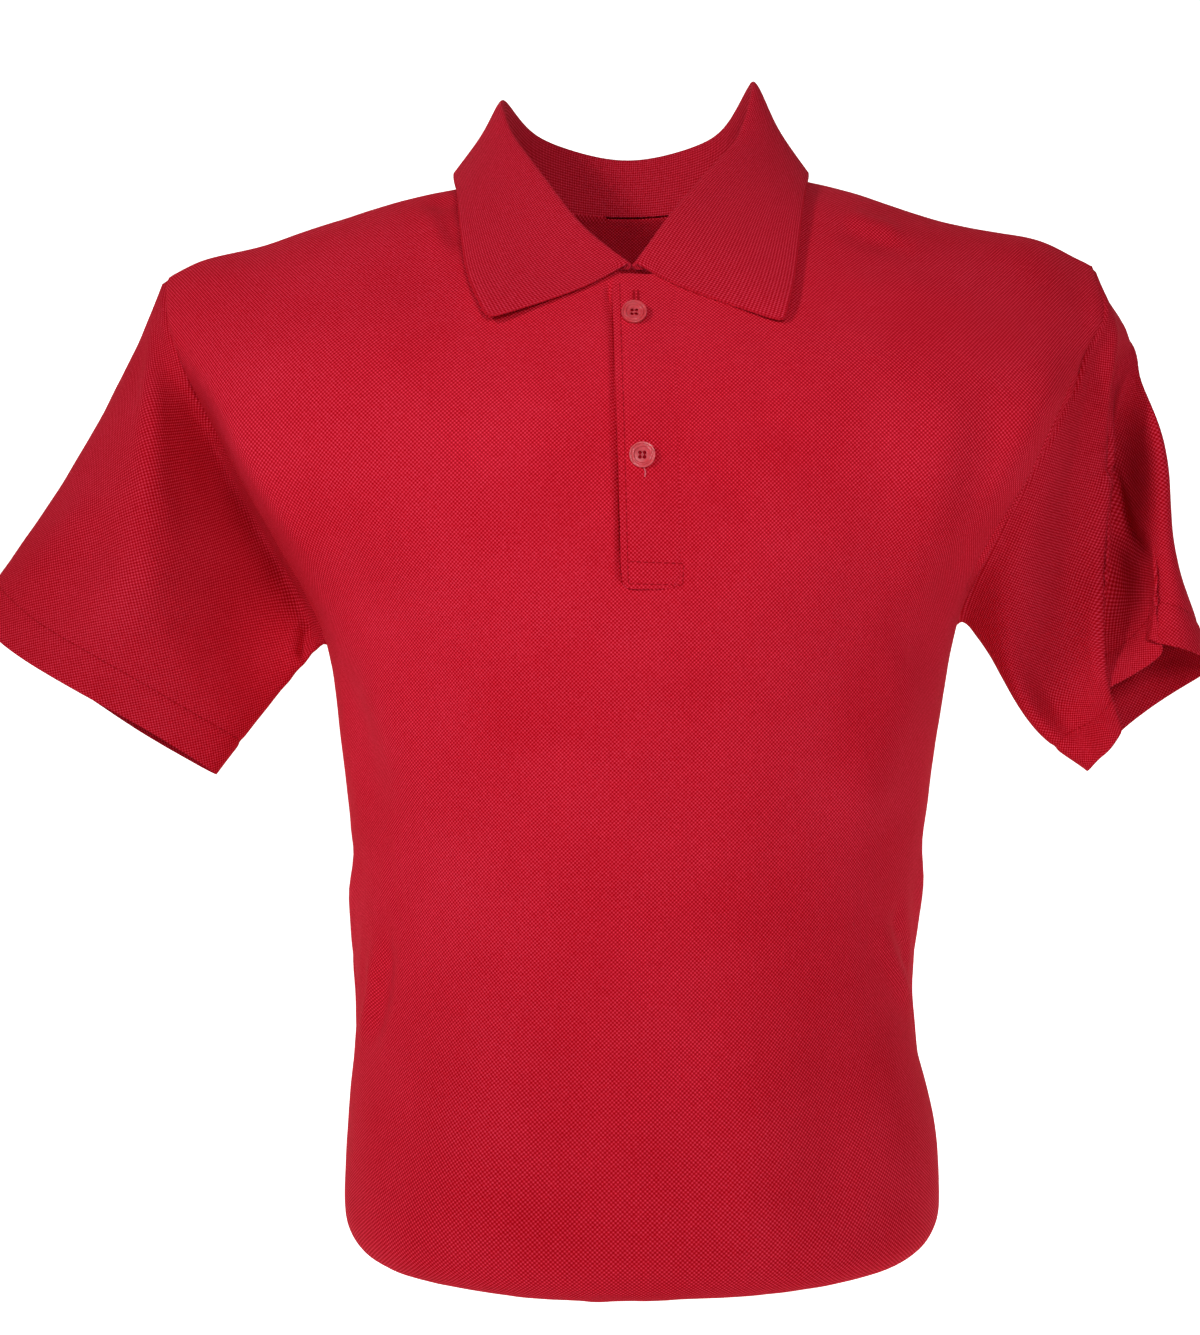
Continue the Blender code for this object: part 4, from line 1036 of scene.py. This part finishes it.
rim_gap = np.array([
    np.linalg.norm(neckline[neck_loop] - collar_points[vertex], axis=1).min() for vertex in rim
])
first = next(k for k in range(len(rim)) if rim_gap[k - 1] < NECK_REACH <= rim_gap[k])
rim, rim_gap = rim[first:] + rim[:first], np.roll(rim_gap, -first)
free_count = int(np.argmax(rim_gap < NECK_REACH))
selvedge = [(collar_points[v], collar_normals[v]) for v in rim[:free_count]]
# the panels are sewn to the strip: their neckline comes to its lower edge
sewn_edge = collar_points[rim[free_count:]]
for vertex in neck_loop:
    gap, along, index = near_line(neckline[[vertex]], sewn_edge)
    if gap[0] < NECK_REACH and abs(neckline[vertex][0] - NECK_X) > NECK_OPEN:
        k = min(int(index[0]), len(sewn_edge) - 2)
        run = sewn_edge[k + 1] - sewn_edge[k]
        share = np.clip((neckline[vertex] - sewn_edge[k]) @ run / (run @ run), 0.0, 1.0)
        neckline[vertex] = sewn_edge[k] + share * run
write_points(shell.data, neckline)
thicken(collar, COLLAR_CLOTH, COLLAR_EDGE)
stands_for(collar, "collar")


# ---- The cut pieces
# The two panels, two sleeves and upper placket strip, in thin pique cloth. The sewn shell comes
# apart at its seams again, so each piece has its own edge along them.

CLOTH, CLOTH_EDGE = 0.0009, 0.00035
CLOTH_NAMES = (
    "front_cloth", "back_cloth", "sleeve_right_cloth", "sleeve_left_cloth", "placket_top_cloth",
)


def taken_from(shell, index, name):
    """One piece of the shell, by its number, as thick as the cloth; its edges fit its neighbours'."""
    mesh = bmesh.new()
    mesh.from_mesh(shell.data)
    number, out = mesh.faces.layers.int["piece"], mesh.verts.layers.float_vector["out"]
    others = [face for face in mesh.faces if face[number] != index]
    bmesh.ops.delete(mesh, geom=others, context="FACES")
    geometry = mesh.faces[:] + mesh.edges[:] + mesh.verts[:]
    inside = bmesh.ops.extrude_face_region(mesh, geom=geometry, use_keep_orig=True)
    for vertex in inside["geom"]:
        if isinstance(vertex, bmesh.types.BMVert):
            vertex.co -= CLOTH * vertex[out]
    bmesh.ops.recalc_face_normals(mesh, faces=mesh.faces)
    piece = piece_from(name, mesh)
    apply(piece, "BEVEL", width=CLOTH_EDGE, segments=2, limit_method="ANGLE", angle_limit=EDGE_ANGLE)
    piece.data.shade_smooth()
    # the sleeves take the darker copy of the pique, with its painted shade
    piece.data.materials.append(sleeve_pique_shaded if name.startswith("sleeve") else pique)
    return piece


outwards = shell.data.attributes.new("out", "FLOAT_VECTOR", "POINT")
outwards.data.foreach_set("vector", read_normals(shell.data).astype(np.float32).ravel())
cloth = {}
for index, (node, name) in enumerate(zip(cuts, CLOTH_NAMES)):
    piece = taken_from(shell, index, name)
    stands_for(piece, node)
    cloth[node] = piece
bpy.data.objects.remove(shell)


# ---- Lower placket strip
# A narrow strip of the same pique behind the upper one, which the buttons are sewn to. It is sewn
# to the front along the slot and held flat by the box of stitches at its foot.

UNDER_LOW, UNDER_HIGH = (0.0111, -0.1238, -0.222), (0.009, -0.0791, -0.0705)

placket_under = piece_from("placket_under_cloth", outer_wall("placket_under", WALL, BODY_HEART))
placket_under.data.attributes.new("piece", "INT", "FACE")
placket_under.data.uv_layers.new(name="flat")
under_flat, under_area = lay_flat(placket_under, 0, UNDER_LOW, UNDER_HIGH)
placket_under.data.materials.append(pique)
apply(placket_under, "SUBSURF", levels=2, render_levels=2)
thicken(placket_under, CLOTH, CLOTH_EDGE)
stands_for(placket_under, "placket_under")


# ---- Thread
# Lockstitch in red thread: separate short stitches with a gap between, each a rounded bar that
# lies in the groove of its row.

STITCH, STITCH_GAP, STITCH_RISE, THREAD_RADIUS = 0.0024, 0.0007, 0.00008, 0.00024
THREAD_SIDES, THREAD_FLAT = 6, 0.8
TWIST_SCALE, TWIST_DETAIL, TWIST_RELIEF, TWIST_DEPTH = 1800.0, 2.0, 0.4, 0.0001
THREAD_RINGS = ((-0.5, 0.35), (-0.40, 0.9), (0.0, 1.0), (0.40, 0.9), (0.5, 0.35))
THREAD_RED, THREAD_PALE = (0.30, 0.000, 0.004, 1.0), (0.55, 0.006, 0.020, 1.0)

thread = Finish("thread", Roughness=0.7, Specular_IOR_Level=0.08)
twist = thread.noise(TWIST_SCALE, TWIST_DETAIL)
thread.set(
    Base_Color=thread.mix(twist, THREAD_RED, THREAD_PALE),
    Normal=thread.bump(twist, TWIST_RELIEF, TWIST_DEPTH),
)


def stitched(
    name, rows, pitch=STITCH, gap=STITCH_GAP, radius=THREAD_RADIUS, rise=STITCH_RISE, finish=thread,
):
    """Stitches laid end to end along rows of (place, normal)."""
    points, faces = [], []
    for row in rows:
        places = np.array([place for place, normal in row])
        normals = np.array([normal for place, normal in row])
        gone = np.concatenate([[0.0], np.cumsum(np.linalg.norm(np.diff(places, axis=0), axis=1))])
        count = int(gone[-1] / (pitch + gap))
        for k in range(count):
            start = (k + 0.5) * gone[-1] / count
            ends = [
                np.array([np.interp(start + side * pitch / 2, gone, places[:, axis]) for axis in range(3)])
                for side in (-1, 1)
            ]
            out = np.array([np.interp(start, gone, normals[:, axis]) for axis in range(3)])
            run = ends[1] - ends[0]
            length = np.linalg.norm(run)
            run /= length
            out -= run * (out @ run)
            out /= np.linalg.norm(out)
            side = np.cross(run, out)
            centre = (ends[0] + ends[1]) / 2 + out * rise
            base = len(points)
            for share, fat in THREAD_RINGS:
                for turn in range(THREAD_SIDES):
                    angle = 2 * math.pi * turn / THREAD_SIDES
                    points.append(centre + run * share * length + radius * fat * (
                        math.cos(angle) * side + THREAD_FLAT * math.sin(angle) * out
                    ))
            rings = len(THREAD_RINGS)
            for ring in range(rings - 1):
                for turn in range(THREAD_SIDES):
                    a = base + ring * THREAD_SIDES + turn
                    b = base + ring * THREAD_SIDES + (turn + 1) % THREAD_SIDES
                    faces.append((a, b, b + THREAD_SIDES, a + THREAD_SIDES))
            faces.append([base + turn for turn in reversed(range(THREAD_SIDES))])
            faces.append([base + (rings - 1) * THREAD_SIDES + turn for turn in range(THREAD_SIDES)])
    data = bpy.data.meshes.new(name)
    data.from_pydata([tuple(map(float, p)) for p in points], [], faces)
    mesh = bmesh.new()
    mesh.from_mesh(data)
    bmesh.ops.recalc_face_normals(mesh, faces=mesh.faces)
    mesh.to_mesh(data)
    mesh.free()
    data.materials.append(finish.material)
    data.shade_smooth()
    piece = bpy.data.objects.new(name, data)
    scene.collection.objects.link(piece)
    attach(piece, "root")


stitched("hem_stitches", hem_rows)
stitched("placket_stitches", placket_rows)


# ---- Collar selvedge
# The collar strip's free edge is a knitted selvedge of the same cotton: a row of small rolled
# scallops along the rim, from one end of the neck seam round to the other.

SCALLOP, SCALLOP_GAP, SCALLOP_RADIUS = 0.0013, 0.0003, 0.00066
stitched("collar_selvedge", [selvedge], SCALLOP, SCALLOP_GAP, SCALLOP_RADIUS, -COLLAR_CLOTH / 2, rib)


# ---- Buttonholes
# Each button sits in an upright hole worked through the placket: a slit between two close rows of
# satin stitches. The top button sits low in its hole, so the upper end of it shows.

HOLE_TOPS = ((-0.0008, -0.0782), (0.0016, -0.1562))
HOLE_LENGTH, HOLE_SIDE = 0.0105, 0.0011
SATIN_PITCH, SATIN_LONG, SATIN_RADIUS = 0.00055, 0.0013, 0.00026
placket_cloth = cloth["placket_top"].data
satin = []
for x, z in HOLE_TOPS:
    for step in range(int(HOLE_LENGTH / SATIN_PITCH)):
        low = z - step * SATIN_PITCH
        for middle in (x - HOLE_SIDE, x + HOLE_SIDE):
            ends = ((middle - SATIN_LONG / 2, low), (middle + SATIN_LONG / 2, low))
            satin.append(on_cloth(placket_cloth, ends))
stitched("buttonhole_stitches", satin, SATIN_LONG, 0.0, SATIN_RADIUS)


# ---- Buttons
# Two moulded four-hole buttons of red plastic, a little see-through, with a double rim round a
# dished middle, each sewn on with two parallel bars of thread.

BUTTON_RADIUS, BUTTON_THICK, BUTTON_SIDES, BUTTON_ROUND = 0.0061, 0.0017, 48, 0.00016
BUTTON_STEPS = (
    (0.0006, 0.00000), (0.0003, -0.00060), (0.0004, 0.00000), (0.0003, 0.00050), (0.0004, 0.00000),
    (0.0004, -0.00080),
)
ROUND_ANGLE, SMOOTH_ANGLE = math.radians(28), math.radians(40)
HOLES, HOLE_RADIUS, HOLE_PLACE, HOLE_SIDES = 4, 0.00085, 0.00150, 16
CROSS_SINK, CROSS_OVER, CROSS_RADIUS, FRONT_NORMAL = 0.0004, 1.5, 0.00030, -0.7
BUTTON_TONE, BUTTON_PALE = (0.56, 0.0150, 0.0280, 1.0), (0.84, 0.1100, 0.1400, 1.0)
CLOUD_SCALE, CLOUD_DETAIL, CLOUD_ROUGH, PLASTIC_ROUGH = 420.0, 3.0, 0.16, 0.26
TAIL_LINE, TAIL_STEP = ((0.0022, -0.1665), (0.0030, -0.1686), (0.0027, -0.1712)), 0.0009
TAIL_PALE, TAIL_RADIUS, TAIL_RISE = (0.80, 0.22, 0.28, 1.0), 0.00026, 0.0008

plastic = Finish(
    "button_plastic", Subsurface_Weight=0.25, Subsurface_Scale=0.0015, Subsurface_Radius=(1.0, 0.25, 0.2),
    Coat_Weight=0.6, Coat_Roughness=0.10, Specular_IOR_Level=0.35,
)
cloud = plastic.noise(CLOUD_SCALE, CLOUD_DETAIL)
plastic.set(
    Base_Color=plastic.mix(cloud, BUTTON_TONE, BUTTON_PALE),
    Roughness=PLASTIC_ROUGH + cloud * CLOUD_ROUGH,
)

bpy.ops.mesh.primitive_cylinder_add(
    vertices=BUTTON_SIDES, radius=BUTTON_RADIUS, depth=BUTTON_THICK, location=(0.0, 0.0, 0.0),
)
blank = bpy.context.view_layer.objects.active
bpy.ops.object.mode_set(mode="EDIT")
bpy.ops.mesh.select_mode(type="FACE")
bpy.ops.mesh.select_all(action="DESELECT")
mesh = bmesh.from_edit_mesh(blank.data)
max(mesh.faces, key=lambda face: face.calc_center_median().z).select_set(True)
bmesh.update_edit_mesh(blank.data)
for inset, step in BUTTON_STEPS:
    bpy.ops.mesh.inset(thickness=inset)
    bpy.ops.transform.translate(value=(0.0, 0.0, step))
bpy.ops.object.mode_set(mode="OBJECT")
for hole in range(HOLES):
    angle = 2 * math.pi * (hole + 0.5) / HOLES
    bpy.ops.mesh.primitive_cylinder_add(
        vertices=HOLE_SIDES, radius=HOLE_RADIUS, depth=4 * BUTTON_THICK,
        location=(HOLE_PLACE * math.cos(angle), HOLE_PLACE * math.sin(angle), 0.0),
    )
    drill = bpy.context.view_layer.objects.active
    apply(blank, "BOOLEAN", operation="DIFFERENCE", object=drill, solver="EXACT")
    bpy.data.objects.remove(drill)
apply(blank, "BEVEL", width=BUTTON_ROUND, segments=2, limit_method="ANGLE", angle_limit=ROUND_ANGLE)
blank.data.materials.append(plastic.material)
only(blank)
bpy.ops.object.shade_smooth_by_angle(angle=SMOOTH_ANGLE)

button_rows = []
across_holes = HOLE_PLACE * math.sqrt(0.5)
cross_half = CROSS_OVER * across_holes
for node in ("button_top", "button_bottom"):
    low, high = (Vector(corner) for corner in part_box(node))
    faces = [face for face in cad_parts[node].data.polygons if face.normal.y < FRONT_NORMAL]
    facing = sum((face.normal * face.area for face in faces), Vector()).normalized()
    place = Matrix.Translation((low + high) / 2) @ facing.to_track_quat("Z", "Y").to_matrix().to_4x4()
    button = blank.copy()
    button.data = blank.data.copy()
    button.name = node + "_moulded"
    scene.collection.objects.link(button)
    button.data.transform(place)
    stands_for(button, node)
    for side in (-across_holes, across_holes):
        ends = (Vector((side, up, BUTTON_THICK / 2 - CROSS_SINK)) for up in (-cross_half, cross_half))
        button_rows.append([(np.array(place @ end), np.array(facing)) for end in ends])
bpy.data.objects.remove(blank)
stitched("button_thread", button_rows, 2 * cross_half, 0.0, CROSS_RADIUS)
loose = Finish("loose_thread", Base_Color=TAIL_PALE, Roughness=0.6)
tail = on_cloth(placket_cloth, TAIL_LINE, TAIL_STEP)
stitched("thread_tail", [tail], TAIL_STEP, 0.0, TAIL_RADIUS, TAIL_RISE, loose)
